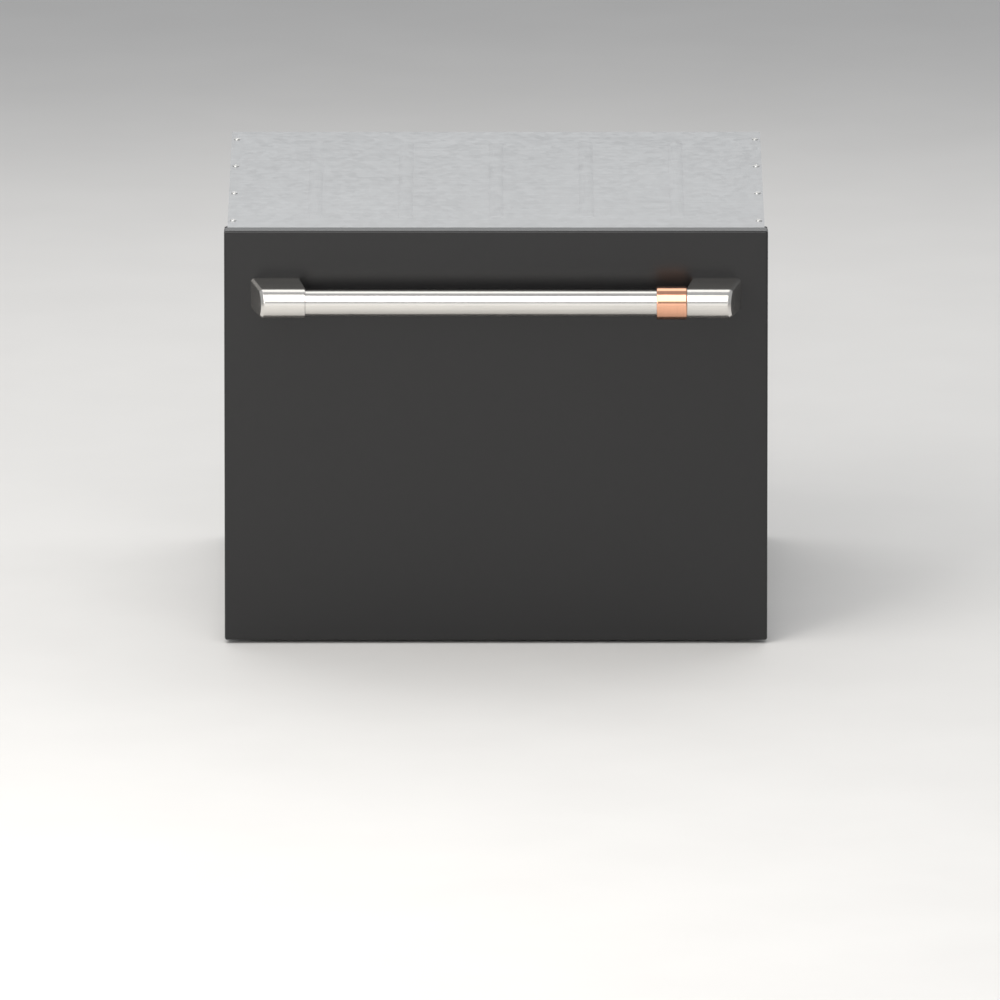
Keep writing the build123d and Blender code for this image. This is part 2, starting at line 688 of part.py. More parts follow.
def spray_arm():
    """Two-armed spray arm with a row of jets on each side and a hub that drops over the spindle."""
    root = Circle(ARM_ROOT).edges()
    tips = (Pos(ARM_REACH - ARM_TIP, 0) * Circle(ARM_TIP)).edges()
    other_tips = (Pos(ARM_TIP - ARM_REACH, 0) * Circle(ARM_TIP)).edges()
    blade = extrude(make_hull(root + tips), ARM_THICKNESS)
    blade += extrude(make_hull(root + other_tips), ARM_THICKNESS)
    blade = fillet(blade.faces().sort_by(Axis.Z)[-1].edges(), ARM_EDGE)
    bottom = TOWER_TOP + FIT
    arm = Pos(0, TUB_MID, bottom + ARM_RISE) * blade
    arm += upright(HUB_RADIUS, 0, TUB_MID, (bottom, bottom + HUB_HEIGHT))
    arm -= upright(SPINDLE_RADIUS + PIN_FIT, 0, TUB_MID, (bottom - 1, bottom + SPINDLE_HEIGHT))
    jet_z = (bottom + ARM_RISE + ARM_THICKNESS / 2, bottom + HUB_HEIGHT)
    for i in range(JETS_PER_SIDE):
        x = HUB_RADIUS + JET_PITCH / 2 + i * JET_PITCH
        arm -= upright(JET_RADIUS, x, TUB_MID + JET_RADIUS, jet_z)
        arm -= upright(JET_RADIUS, -x, TUB_MID - JET_RADIUS, jet_z)
    return arm


# Rack


def cross_wire_places():
    """Depths of the rack's wires that run from side to side."""
    margin = RACK_BEND + RACK_RIM_WIRE
    pitch = (RACK_BACK - RACK_FRONT - 2 * margin) / (RACK_CROSS_WIRES - 1)
    return spaced(RACK_CROSS_WIRES, pitch, (RACK_FRONT + RACK_BACK) / 2)


def long_wire_places():
    """X of the rack's wires that run from front to back."""
    return spaced(RACK_LONG_WIRES, long_wire_pitch())


def long_wire_pitch():
    """Distance between the wires that run from front to back."""
    return 2 * (RACK_HALF - LONG_WIRE_MARGIN) / (RACK_LONG_WIRES - 1)


def rack():
    """Wire basket: U-shaped wires both ways, welded to each other and under a rim."""
    top = RACK_RIM_Z - RACK_RIM_WIRE - RACK_WELD
    wires = []
    for y in cross_wire_places():
        ends = [(-RACK_HALF, y, top), (-RACK_HALF, y, RACK_FLOOR)]
        wires.append(wire(ends + [(-x, y, z) for x, y, z in reversed(ends)], RACK_WIRE, RACK_BEND))
    for x in long_wire_places():
        front = [(x, RACK_FRONT, top), (x, RACK_FRONT, LONG_WIRE_Z)]
        back = [(x, RACK_BACK, LONG_WIRE_Z), (x, RACK_BACK, top)]
        wires.append(wire(front + back, RACK_WIRE, RACK_BEND))
    outline = RectangleRounded(2 * RACK_HALF, RACK_BACK - RACK_FRONT, RACK_BEND).wire()
    path = Pos(0, (RACK_FRONT + RACK_BACK) / 2, RACK_RIM_Z) * outline
    rim = sweep(Plane(path @ 0, z_dir=path % 0) * Circle(RACK_RIM_WIRE), path=path)
    return group([rim] + wires)


def tine_row_places():
    """Depths of the two rows of tines."""
    return (TUB_MID - TINE_ROW_OFFSET, TUB_MID + TINE_ROW_OFFSET)


def tine_row(y):
    """Folding row of plate tines on one rod."""
    pitch = long_wire_pitch() / 2
    places = spaced(2 * (RACK_LONG_WIRES - 1), pitch)
    row = crosswise(TINE_ROD, (places[0] - pitch / 4, places[-1] + pitch / 4), y, TINE_AXIS_Z)
    top = TINE_AXIS_Z + TINE_HEIGHT
    tines = [upright(TINE_WIRE, x, y, (TINE_AXIS_Z, top)) for x in places]
    tips = [Pos(x, y, top) * Sphere(TINE_WIRE) for x in places]
    return row.fuse(*tines, *tips)


def rack_feet_and_clips():
    """Feet that stand the rack on the tub's floor, and clips that hold the tine rods on its wires."""
    long_wires = long_wire_places()
    cross_wires = cross_wire_places()
    foot_x = TUB_HALF - TUB_WALL - TUB_FLOOR_RADIUS - RACK_FOOT_RADIUS - RACK_FOOT_INSET
    pieces = []
    for x in (-foot_x, foot_x):
        for y in (cross_wires[1], cross_wires[-2]):
            pieces.append(upright(RACK_FOOT_RADIUS, x, y, (FLOOR_Z, RACK_FLOOR - RACK_WIRE - SCREW_FIT)))
    length, width, over_rod = CLIP
    for x in (long_wires[1], long_wires[3], long_wires[-4], long_wires[-2]):
        for y in tine_row_places():
            height = (WIRE_TOP + SCREW_FIT, TINE_AXIS_Z + over_rod)
            clip = block(around(x, length / 2), around(y, width / 2), height)
            bore = crosswise(TINE_ROD + PIN_FIT, around(x, length), y, TINE_AXIS_Z)
            pieces.append(clip - bore)
    return group(pieces)


def right_cup_shelf():
    """Folding shelf that turns about the rack's rim on three short barrels."""
    wires = cross_wire_places()
    middles = [(wires[i] + wires[i + 1]) / 2 for i in SHELF_BARREL_GAPS]
    plate_y = (middles[0] - SHELF_OVERHANG, middles[-1] + SHELF_OVERHANG)
    plate_x = (RACK_HALF - SHELF_REACH, RACK_HALF - SHELF_STAND)
    plate_z = around(RACK_RIM_Z, SHELF_THICKNESS / 2)
    shelf = block(plate_x, plate_y, plate_z)
    shelf = fillet(shelf.edges().filter_by(Axis.Z), SHELF_STAND)
    slot_y = (plate_y[0] + SHELF_STAND, plate_y[1] - SHELF_STAND)
    slot_pitch = (plate_x[1] - plate_x[0]) / SHELF_SLOTS
    for x in spaced(SHELF_SLOTS - 1, slot_pitch, sum(plate_x) / 2):
        for half in ((slot_y[0], TUB_MID - SHELF_STAND / 2), (TUB_MID + SHELF_STAND / 2, slot_y[1])):
            shelf -= block(around(x, slot_pitch / 4), half, plate_z)
    for y in middles:
        span = around(y, SHELF_BARREL_LENGTH / 2)
        barrel = lengthwise(SHELF_BARREL, RACK_HALF, span, RACK_RIM_Z)
        arm = block((plate_x[1] - SHELF_STAND / 2, RACK_HALF), span, plate_z)
        shelf += barrel + arm
        shelf -= lengthwise(RACK_RIM_WIRE + PIN_FIT, RACK_HALF, span, RACK_RIM_Z)
    return shelf


def cutlery_basket():
    """Slotted basket with cells, that stands on the rack's wires and lifts by its middle grip."""
    front = RACK_FRONT + RACK_BEND + BASKET_FRONT_GAP
    depth = (front, front + BASKET_DEPTH)
    low = WIRE_TOP + SCREW_FIT
    top = low + BASKET_HEIGHT
    wall = BASKET_WALL
    shell = block((-BASKET_HALF, BASKET_HALF), depth, (low, top))
    shell = fillet(shell.edges().filter_by(Axis.Z), 3 * wall)
    cell = (2 * BASKET_HALF - wall) / BASKET_CELLS - wall
    cell_y = (depth[0] + wall, depth[1] - wall)
    slot_pitch = cell / BASKET_SLOTS_PER_CELL
    slot_z = (low + BASKET_FOOT_BAND, top - BASKET_HEAD_BAND)
    for x in spaced(BASKET_CELLS, cell + wall):
        shell -= block(around(x, cell / 2), cell_y, (low + wall, top + wall))
        for slot_x in spaced(BASKET_SLOTS_PER_CELL, slot_pitch, x):
            shell -= block(around(slot_x, BASKET_SLOT / 2), (depth[0] - wall, depth[1] + wall), slot_z)
    mid = sum(depth) / 2
    grip_x = (-BASKET_GRIP_HALF, BASKET_GRIP_HALF)
    grip = block(grip_x, around(mid, wall / 2), (low, low + BASKET_GRIP_HEIGHT))
    window = block(around(0, BASKET_GRIP_HALF - 4 * wall), depth, (top, low + BASKET_GRIP_HEIGHT - 4 * wall))
    return shell + (grip - window)


# Dispenser


def dispenser_housing():
    """Moulded housing in the tub's front wall: a detergent cup, a bore for the rinse-aid cap and two ears."""
    margin, thickness = DISPENSER_FLANGE
    height = (DISPENSER_BOTTOM, DISPENSER_TOP)
    body = block(DISPENSER_X, (TUB_FRONT - DISPENSER_DEPTH, TUB_INNER_FRONT), height)
    flange_x = (DISPENSER_X[0] - margin, DISPENSER_X[1] + margin)
    flange_z = (height[0] - margin, height[1] + margin)
    body += block(flange_x, (TUB_INNER_FRONT, FLANGE_FACE), flange_z)
    cup_z = around(DISPENSER_MID, CUP_HEIGHT / 2)
    body -= block(CUP_X, (FLANGE_FACE - CUP_DEPTH, FLANGE_FACE + 1), cup_z)
    bore_y = (FLANGE_FACE - RINSE_DEPTH - FIT, FLANGE_FACE + 1)
    body -= lengthwise(RINSE_RADIUS + PIN_FIT, RINSE_X, bore_y, DISPENSER_MID)
    ear_y = (FLANGE_FACE - thickness, FLAP_AXIS_Y + FLAP_BARREL)
    for x in (CUP_X[0] - FIT - FLAP_EAR, CUP_X[1] + FIT):
        ear = block((x, x + FLAP_EAR), ear_y, around(FLAP_AXIS_Z, FLAP_BARREL))
        body += ear - crosswise(FLAP_PIN + PIN_FIT, (x, x + FLAP_EAR), FLAP_AXIS_Y, FLAP_AXIS_Z)
    return body


def detergent_flap():
    """Flap over the detergent cup, on a barrel with a pin at each end."""
    plate_z = (FLAP_AXIS_Z, DISPENSER_MID + CUP_HEIGHT / 2 + FLAP_THICKNESS)
    plate_y = (FLANGE_FACE + FIT, FLANGE_FACE + FIT + FLAP_THICKNESS)
    flap = block(CUP_X, plate_y, plate_z)
    top_corners = flap.edges().filter_by(Axis.Y).group_by(Axis.Z)[-1]
    flap = fillet(top_corners, 2 * FLAP_THICKNESS)
    flap += crosswise(FLAP_BARREL, CUP_X, FLAP_AXIS_Y, FLAP_AXIS_Z)
    pin_span = (CUP_X[0] - FIT - FLAP_EAR, CUP_X[1] + FIT + FLAP_EAR)
    return flap + crosswise(FLAP_PIN, pin_span, FLAP_AXIS_Y, FLAP_AXIS_Z)


def rinse_aid_cap():
    """Quarter-turn cap with a grip across it."""
    face = FLANGE_FACE + RINSE_PROUD
    cap = lengthwise(RINSE_RADIUS, RINSE_X, (FLANGE_FACE - RINSE_DEPTH, face), DISPENSER_MID)
    width, height = RINSE_GRIP
    grip_x = around(RINSE_X, width / 2)
    return cap + block(grip_x, (face, face + height), around(DISPENSER_MID, RINSE_RADIUS - width / 2))


# Lid


def lid():
    """Ribbed lid above the tub, with guide pins and a lug for the lift on each side."""
    depth = (RIM_FRONT + LID_MARGIN, RIM_BACK - LID_MARGIN)
    corner = TUB_CORNER + RIM - LID_MARGIN
    tray = slab(LID_HALF, depth, corner, (LID_BOTTOM, LID_TOP))
    inside = (depth[0] + LID_SHEET, depth[1] - LID_SHEET)
    tray -= slab(LID_HALF - LID_SHEET, inside, corner - LID_SHEET, (LID_BOTTOM + LID_SHEET, LID_TOP + 1))
    rib_z = (LID_BOTTOM + LID_SHEET / 2, LID_BOTTOM + LID_SHEET + LID_RIB)
    for y in spaced(3, (depth[1] - depth[0]) / 4, TUB_MID):
        tray += block(around(0, LID_HALF - LID_SHEET / 2), around(y, LID_SHEET / 2), rib_z)
    for x in spaced(3, LID_HALF / 2):
        tray += block(around(x, LID_SHEET / 2), around(TUB_MID, (depth[1] - depth[0] - LID_SHEET) / 2), rib_z)
    pin_span = (LID_HALF - LID_SHEET, INNER_HALF - FIT)
    for y in guide_places():
        pin = crosswise(LID_PIN, pin_span, y, LID_PIN_Z)
        tray += pin + left_of(pin)
    lug_x = (LID_HALF - LID_SHEET, rod_x() + LUG_EDGE)
    lug = block(lug_x, around(TUB_MID, LUG_LENGTH / 2), (LID_BOTTOM, LID_BOTTOM + LUG_THICKNESS))
    lug -= upright(ROD_RADIUS + PIN_FIT, rod_x(), TUB_MID, (LID_BOTTOM, LID_BOTTOM + LUG_THICKNESS))
    return tray + lug + left_of(lug)


def guide_places():
    """Depths of the lid's guide blocks."""
    return (TUB_FRONT + GUIDE_INSET, TUB_BACK - GUIDE_INSET)


def rod_x():
    """X of the lift rods, midway between the lid and the chassis side."""
    return (LID_HALF + INNER_HALF) / 2


def lid_seal():
    """Rubber ring under the lid that comes down on the tub's rim."""
    middle = (RIM_HALF + TUB_HALF - TUB_WALL) / 2
    setback = RIM_HALF - middle
    corner = TUB_CORNER + RIM - setback
    height = (SEAL_BOTTOM, LID_BOTTOM)
    half = SEAL_WIDTH / 2
    ring = slab(middle + half, (RIM_FRONT + setback - half, RIM_BACK - setback + half), corner + half, height)
    hole_y = (RIM_FRONT + setback + half, RIM_BACK - setback - half)
    return ring - slab(middle - half, hole_y, corner - half, height)


def lid_lift_rods():
    """Two lift rods, each with a collar under its lug."""
    top = LID_TOP + LID_TRAVEL
    rod = upright(ROD_RADIUS, rod_x(), TUB_MID, (LID_BOTTOM, top))
    collar = upright(ROD_COLLAR, rod_x(), TUB_MID, (LID_BOTTOM - ROD_RADIUS / 2, LID_BOTTOM))
    return both_sides(rod + collar)


def lid_guides():
    """Four guide blocks on the chassis sides, each with an upright slot for a lid pin."""
    length, margin = GUIDE_BLOCK
    x = (LID_HALF + GUIDE_PLAY, INNER_HALF)
    low = LID_PIN_Z - LID_TRAVEL - LID_PIN - FIT
    high = LID_PIN_Z + LID_PIN + FIT
    blocks = []
    for y in guide_places():
        guide = block(x, around(y, length / 2), (low - margin / 3, high + margin))
        guide -= block(x, around(y, LID_PIN + FIT), (low, high))
        blocks += [guide, left_of(guide)]
    return group(blocks)


def lid_actuators():
    """Two motor housings on the chassis sides that draw the lift rods up and down."""
    length, height = ACTUATOR
    low = LID_BOTTOM + LUG_THICKNESS + FIT
    case = block((LID_HALF + GUIDE_PLAY, INNER_HALF), around(TUB_MID, length / 2), (low, low + height))
    bore = upright(ROD_RADIUS + FIT, rod_x(), TUB_MID, (low - 1, LID_TOP + LID_TRAVEL + FIT))
    return both_sides(case - bore)


# Runners


def channel(web_x, flange_x, half_height, y):
    """A C-section rail: an upright web and a flange above and below it."""
    rail = block(web_x, y, around(RUNNER_Z, half_height))
    for z in ((-half_height, RUNNER_WALL - half_height), (half_height - RUNNER_WALL, half_height)):
        rail += block(flange_x, y, (RUNNER_Z + z[0], RUNNER_Z + z[1]))
    return rail


def outer_runners():
    """Fixed rails on the chassis sides."""
    start = CHASSIS_FRONT + RUNNER_SETBACK
    web = (INNER_HALF - RUNNER_WALL, INNER_HALF)
    flanges = (INNER_HALF - RUNNER_DEPTH, INNER_HALF)
    return both_sides(channel(web, flanges, RUNNER_HEIGHT / 2, (start, start + OUTER_RUNNER_LENGTH)))


def middle_runners():
    """Rails that travel half as far as the drawer."""
    start = CHASSIS_FRONT + RUNNER_SETBACK
    web_x = INNER_HALF - RUNNER_WALL - SIDE_PLAY
    flanges = (INNER_HALF - RUNNER_DEPTH + RUNNER_STAND, web_x)
    half = RUNNER_HEIGHT / 2 - RUNNER_WALL - RUNNING_GAP
    return both_sides(channel((web_x - RUNNER_WALL, web_x), flanges, half, (start, start + MIDDLE_RUNNER_LENGTH)))


def inner_runners():
    """Rails on the tub's side pads."""
    web = (INNER_RUNNER_X, INNER_RUNNER_X + RUNNER_WALL)
    flange_end = INNER_HALF - 2 * RUNNER_WALL - 2 * SIDE_PLAY
    half = RUNNER_HEIGHT / 2 - 2 * RUNNER_WALL - 2 * RUNNING_GAP
    return both_sides(channel(web, (INNER_RUNNER_X, flange_end), half, around(TUB_MID, INNER_RUNNER_LENGTH / 2)))


# Hose arms


def hose_channel(z, open_end, open_eye):
    """A trough between two eyes, that carries the hoses and wires."""
    x = (ARM_PIVOT_X, ELBOW_X)
    height = (z, z + HOSE_ARM_HEIGHT)
    half = HOSE_ARM_WIDTH / 2
    arm = block(x, around(HOSE_PIVOT_Y, half), height)
    arm -= block(x, around(HOSE_PIVOT_Y, half - HOSE_ARM_WALL), (z + HOSE_ARM_WALL, height[1]))
    for end in x:
        radius = open_eye if end == open_end else HOSE_EYE_RADIUS
        arm += upright(radius, end, HOSE_PIVOT_Y, height)
    return arm


def rear_hose_arm():
    """Arm pivoted on the chassis, with the elbow pin at its far end."""
    arm = hose_channel(HOSE_ARM_Z, None, HOSE_EYE_RADIUS)
    arm -= upright(HOSE_PIN + PIN_FIT, ARM_PIVOT_X, HOSE_PIVOT_Y, around(HOSE_ARM_Z, HOSE_ARM_HEIGHT))
    return arm + upright(HOSE_PIN, ELBOW_X, HOSE_PIVOT_Y, (HOSE_ARM_Z, FRONT_ARM_TOP + HOSE_ARM_GAP))


def front_hose_arm():
    """Arm from the elbow to the tub's pin, which has play in a wide eye."""
    radius, hole = HOSE_OPEN_EYE
    height = (FRONT_ARM_Z - HOSE_ARM_GAP, FRONT_ARM_TOP + HOSE_ARM_GAP)
    arm = hose_channel(FRONT_ARM_Z, ARM_PIVOT_X, radius)
    arm -= upright(HOSE_PIN + PIN_FIT, ELBOW_X, HOSE_PIVOT_Y, height)
    return arm - upright(hole, ARM_PIVOT_X, HOSE_PIVOT_Y, height)


def hose_pivot_bracket():
    """Bracket on the chassis back with the pin that the rear arm turns on."""
    x = around(ARM_PIVOT_X, HOSE_EYE_RADIUS)
    shelf_z = (HOSE_ARM_Z - FIT - PIVOT_PLATE, HOSE_ARM_Z - FIT)
    front = HOSE_PIVOT_Y - HOSE_EYE_RADIUS / 2
    bracket = block(x, (front, BACK_INNER), shelf_z)
    bracket += block(x, (BACK_INNER - PIVOT_PLATE, BACK_INNER), (shelf_z[0] - HOSE_ARM_HEIGHT, shelf_z[1]))
    pin_top = HOSE_ARM_Z + HOSE_ARM_HEIGHT - FIT
    return bracket + upright(HOSE_PIN, ARM_PIVOT_X, HOSE_PIVOT_Y, (shelf_z[0], pin_top))


# Chassis


def top_screw_places():
    """Depths of the screws along each top flange."""
    span = BACK_INNER - CHASSIS_FRONT - 2 * TOP_SCREW_INSET
    return spaced(TOP_SCREWS, span / (TOP_SCREWS - 1), (BACK_INNER + CHASSIS_FRONT) / 2)


def back_screw_places():
    """Heights of the screws along each rear flange."""
    span = SIDE_TOP - BASE_TOP - 2 * BACK_SCREW_INSET
    return spaced(BACK_SCREWS, span / (BACK_SCREWS - 1), (SIDE_TOP + BASE_TOP) / 2)


def fixing_holes():
    """Depth of the fixing holes in the sides, and their two heights."""
    middle = CHASSIS_TOP - FIXING_DROP - FIXING_PLATE[2] / 2
    return CHASSIS_FRONT + FIXING_SETBACK + FIXING_PLATE[1] / 2, around(middle, FIXING_HOLE_PITCH / 2)


def chassis_right_side():
    """Side sheet with flanges turned in at the top, the bottom and the back."""
    depth = (CHASSIS_FRONT, BACK_INNER)
    height = (FOOT_HEIGHT, SIDE_TOP)
    flange = (CHASSIS_HALF - FLANGE, CHASSIS_HALF)
    side = block((INNER_HALF, CHASSIS_HALF), depth, height)
    side += block(flange, depth, (FOOT_HEIGHT, FOOT_HEIGHT + SHEET))
    side += block(flange, depth, (SIDE_TOP - SHEET, SIDE_TOP))
    side += block(flange, (BACK_INNER - SHEET, BACK_INNER), height)
    hole = SCREW + SCREW_FIT
    for y in top_screw_places():
        side -= upright(hole, CHASSIS_HALF - SCREW_EDGE, y, (SIDE_TOP - 2 * SHEET, SIDE_TOP + SHEET))
    for z in back_screw_places():
        side -= lengthwise(hole, CHASSIS_HALF - SCREW_EDGE, (BACK_INNER - 2 * SHEET, BACK_OUTER), z)
    y, heights = fixing_holes()
    for z in heights:
        side -= crosswise(FIXING_ACCESS, (INNER_HALF - SHEET, CHASSIS_HALF + SHEET), y, z)
    return side


def chassis_top():
    """Top sheet with a lip turned down along its front edge."""
    depth = (CHASSIS_FRONT, BACK_OUTER)
    top = block((-CHASSIS_HALF, CHASSIS_HALF), depth, (SIDE_TOP, CHASSIS_TOP))
    lip_half = INNER_HALF - FIT
    lip_z = (SIDE_TOP - TOP_LIP, SIDE_TOP)
    lip = block((-lip_half, lip_half), (CHASSIS_FRONT, CHASSIS_FRONT + SHEET), lip_z)
    corner_half = CHASSIS_HALF - FLANGE - FIT
    lip &= block((-corner_half, corner_half), depth, lip_z)
    top += lip
    for y in top_screw_places():
        for x in around(0, CHASSIS_HALF - SCREW_EDGE):
            top -= upright(SCREW + SCREW_FIT, x, y, (SIDE_TOP - SHEET, CHASSIS_TOP + SHEET))
    return top


def grommet_places():
    """X and bore radius of the water inlet, the drain and the mains lead in the back sheet."""
    return ((INLET_X, INLET_BORE), (DRAIN_X, DRAIN_BORE), (MAINS_X, MAINS_BORE))


def chassis_back():
    """Back sheet on the rear flanges, with holes for the hoses and the mains lead."""
    back = block((-CHASSIS_HALF, CHASSIS_HALF), (BACK_INNER, BACK_OUTER), (FOOT_HEIGHT, SIDE_TOP))
    for z in back_screw_places():
        for x in around(0, CHASSIS_HALF - SCREW_EDGE):
            back -= lengthwise(SCREW + SCREW_FIT, x, (BACK_INNER - SHEET, BACK_OUTER + SHEET), z)
    for x, bore in grommet_places():
        hole = bore + GROMMET_NECK + SCREW_FIT
        back -= lengthwise(hole, x, (BACK_INNER - SHEET, BACK_OUTER + SHEET), FITTING_Z)
    return back


def hose_grommets():
    """Rubber grommets that the inlet hose, the drain hose and the mains lead pass through."""
    rings = []
    for x, bore in grommet_places():
        flange = bore + GROMMET_FLANGE
        ring = lengthwise(flange, x, (BACK_OUTER, DEPTH), FITTING_Z)
        ring += lengthwise(bore + GROMMET_NECK, x, (BACK_INNER, BACK_OUTER), FITTING_Z)
        ring += lengthwise(flange, x, (BACK_INNER - GROMMET_INNER, BACK_INNER), FITTING_Z)
        rings.append(ring - lengthwise(bore, x, (BACK_INNER - GROMMET_INNER, DEPTH), FITTING_Z))
    return group(rings)


def foot_places():
    """X and depths of the feet."""
    inset_x, inset_y = FOOT_INSET
    return CHASSIS_HALF - inset_x, (CHASSIS_FRONT + inset_y, BACK_INNER - inset_y)


def chassis_base():
    """Base sheet between the sides, with a lip at the front and a threaded boss for each foot."""
    depth = (CHASSIS_FRONT, BACK_INNER - SHEET - FIT)
    half = INNER_HALF - FIT
    base = block((-half, half), depth, (BASE_BOTTOM, BASE_TOP))
    base += block((-half, half), (depth[0], depth[0] + BASE_SHEET), (BASE_BOTTOM, BASE_TOP + BASE_LIP))
    foot_x, depths = foot_places()
    radius, height = FOOT_BOSS
    for x in (-foot_x, foot_x):
        for y in depths:
            base += upright(radius, x, y, (BASE_BOTTOM, BASE_TOP + height))
            base -= upright(FOOT_STUD + 2 * PIN_FIT, x, y, (FOOT_HEIGHT, BASE_TOP + height + 1))
    return base


def foot(x, y):
    """Levelling foot: a pad, a hexagon to turn it by and a stud."""
    pad_radius, pad_height = FOOT_PAD
    hex_radius, hex_height = FOOT_HEX
    hex_top = pad_height + hex_height
    pad = upright(pad_radius, x, y, (0, pad_height))
    pad = fillet(pad.faces().sort_by(Axis.Z)[-1].edges(), pad_height / 4)
    hexagon = Pos(x, y, pad_height) * extrude(RegularPolygon(hex_radius, 6), hex_height)
    return pad + hexagon + upright(FOOT_STUD, x, y, (hex_top, hex_top + FOOT_STUD_LENGTH))


def edge_seals():
    """Strips along the front edges of the chassis sides that close the gap to the cabinet."""
    thickness, depth = EDGE_SEAL
    x = (CHASSIS_HALF, CHASSIS_HALF + thickness)
    return both_sides(block(x, (CHASSIS_FRONT, CHASSIS_FRONT + depth), (FOOT_HEIGHT, CHASSIS_TOP)))


def fixing_brackets():
    """Plates on the chassis sides with screw holes into the cabinet."""
    thickness, depth, height = FIXING_PLATE
    y, holes = fixing_holes()
    x = (CHASSIS_HALF, CHASSIS_HALF + thickness)
    plate = block(x, around(y, depth / 2), around(sum(holes) / 2, height / 2))
    plate = fillet(plate.edges().filter_by(Axis.X), FIXING_CORNER)
    for z in holes:
        plate -= crosswise(FIXING_HOLE, x, y, z)
    return both_sides(plate)


def power_module():
    """Electronics box on the base behind the machinery."""
    width, depth, height = POWER_MODULE
    back = BACK_INNER - SHEET - POWER_MODULE_STAND
    box = block(around(POWER_MODULE_X, width / 2), (back - depth, back), (BASE_TOP, BASE_TOP + height))
    return fillet(box.faces().sort_by(Axis.Z)[-1].edges(), CASE_RADIUS)


def inlet_valve():
    """Water valve on the base, with its coil on top and its spigot towards the grommet."""
    width, depth, height = VALVE
    back = BACK_INNER - 2 * GROMMET_INNER - CASE_RADIUS
    body = block(around(INLET_X, width / 2), (back - depth, back), (BASE_TOP, BASE_TOP + height))
    body = fillet(body.edges().filter_by(Axis.Z), CASE_RADIUS)
    coil_y = back - depth / 2
    body += upright(VALVE_COIL, INLET_X, coil_y, (BASE_TOP + height - 1, BASE_TOP + height + VALVE_COIL / 2))
    return body + lengthwise(INLET_BORE, INLET_X, (back - 1, BACK_INNER - GROMMET_INNER), FITTING_Z)


def chassis_screws():
    """Screws that hold the top and the back on the side flanges."""
    radius, height = SCREW_HEAD
    screws = []
    for x in around(0, CHASSIS_HALF - SCREW_EDGE):
        for y in top_screw_places():
            head = upright(radius, x, y, (CHASSIS_TOP, CHASSIS_TOP + height))
            screws.append(head + upright(SCREW, x, y, (CHASSIS_TOP - SCREW_GRIP, CHASSIS_TOP)))
        for z in back_screw_places():
            head = lengthwise(radius, x, (BACK_OUTER, BACK_OUTER + height), z)
            screws.append(head + lengthwise(SCREW, x, (BACK_OUTER - SCREW_GRIP, BACK_OUTER), z))
    return group(screws)


def pieces():
    """Every node of the appliance by name."""
    right_end = right_handle_end()
    right_side = chassis_right_side()
    right_shelf = right_cup_shelf()
    front_row, rear_row = tine_row_places()
    foot_x, (foot_front, foot_back) = foot_places()
    nodes = {
        "chassis_base": chassis_base(),
        "chassis_left_side": left_of(right_side),
        "chassis_right_side": right_side,
        "chassis_top": chassis_top(),
        "chassis_back": chassis_back(),
        "chassis_screws": chassis_screws(),
        "edge_seals": edge_seals(),
        "fixing_brackets": fixing_brackets(),
        "hose_grommets": hose_grommets(),
        "power_module": power_module(),
        "inlet_valve": inlet_valve(),
        "hose_pivot_bracket": hose_pivot_bracket(),
        "rear_hose_arm": rear_hose_arm(),
        "front_hose_arm": front_hose_arm(),
        "front_left_foot": foot(-foot_x, foot_front),
        "front_right_foot": foot(foot_x, foot_front),
        "rear_feet": both_sides(foot(foot_x, foot_back)),
        "outer_runners": outer_runners(),
        "middle_runners": middle_runners(),
        "inner_runners": inner_runners(),
        "lid": lid(),
        "lid_seal": lid_seal(),
        "lid_lift_rods": lid_lift_rods(),
        "lid_guides": lid_guides(),
        "lid_actuators": lid_actuators(),
        "front_skin": front_skin(),
        "front_backing": front_backing(),
        "front_sound_pad": front_sound_pad(),
        "front_brackets": front_brackets(),
        "handle_bar": handle_bar(),
        "left_handle_end": left_of(right_end),
        "right_handle_end": right_end,
        "handle_ring": handle_ring(),
        "handle_screws": handle_screws(),
        "control_panel": control_panel(),
        "control_board": control_board(),
        "tub": tub(),
        "pump_housing": pump_housing(),
        "wash_motor": wash_motor(),
        "impeller": impeller(),
        "drain_pump": drain_pump(),
        "heater_ring": heater_ring(),
        "filter_plate": filter_plate(),
        "drain_filter": drain_filter(),
        "spray_arm": spray_arm(),
        "rack": rack(),
        "rack_feet_and_clips": rack_feet_and_clips(),
        "front_tines": tine_row(front_row),
        "rear_tines": tine_row(rear_row),
        "left_cup_shelf": left_of(right_shelf),
        "right_cup_shelf": right_shelf,
        "cutlery_basket": cutlery_basket(),
        "dispenser_housing": dispenser_housing(),
        "detergent_flap": detergent_flap(),
        "rinse_aid_cap": rinse_aid_cap(),
    }
    for name, x in zip(("power", "cycle", "options", "start"), button_places()):
        nodes[name + "_button"] = button(x)
    return nodes


def place(piece):
    """Moves a piece from depths behind the front's face to the appliance's own frame."""
    return Pos(0, FACE_Y, 0) * piece


def main():
    os.makedirs("parts", exist_ok=True)
    for name, piece in pieces().items():
        export_step(place(piece), os.path.join("parts", name + ".step"))


if __name__ == "__main__":
    main()
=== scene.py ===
"""Looks of a single-drawer built-in dishwasher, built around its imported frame."""

import json
from math import acos, atan2, cos, hypot, pi, radians, sin

import bmesh
import bpy
from mathutils import Matrix, Vector


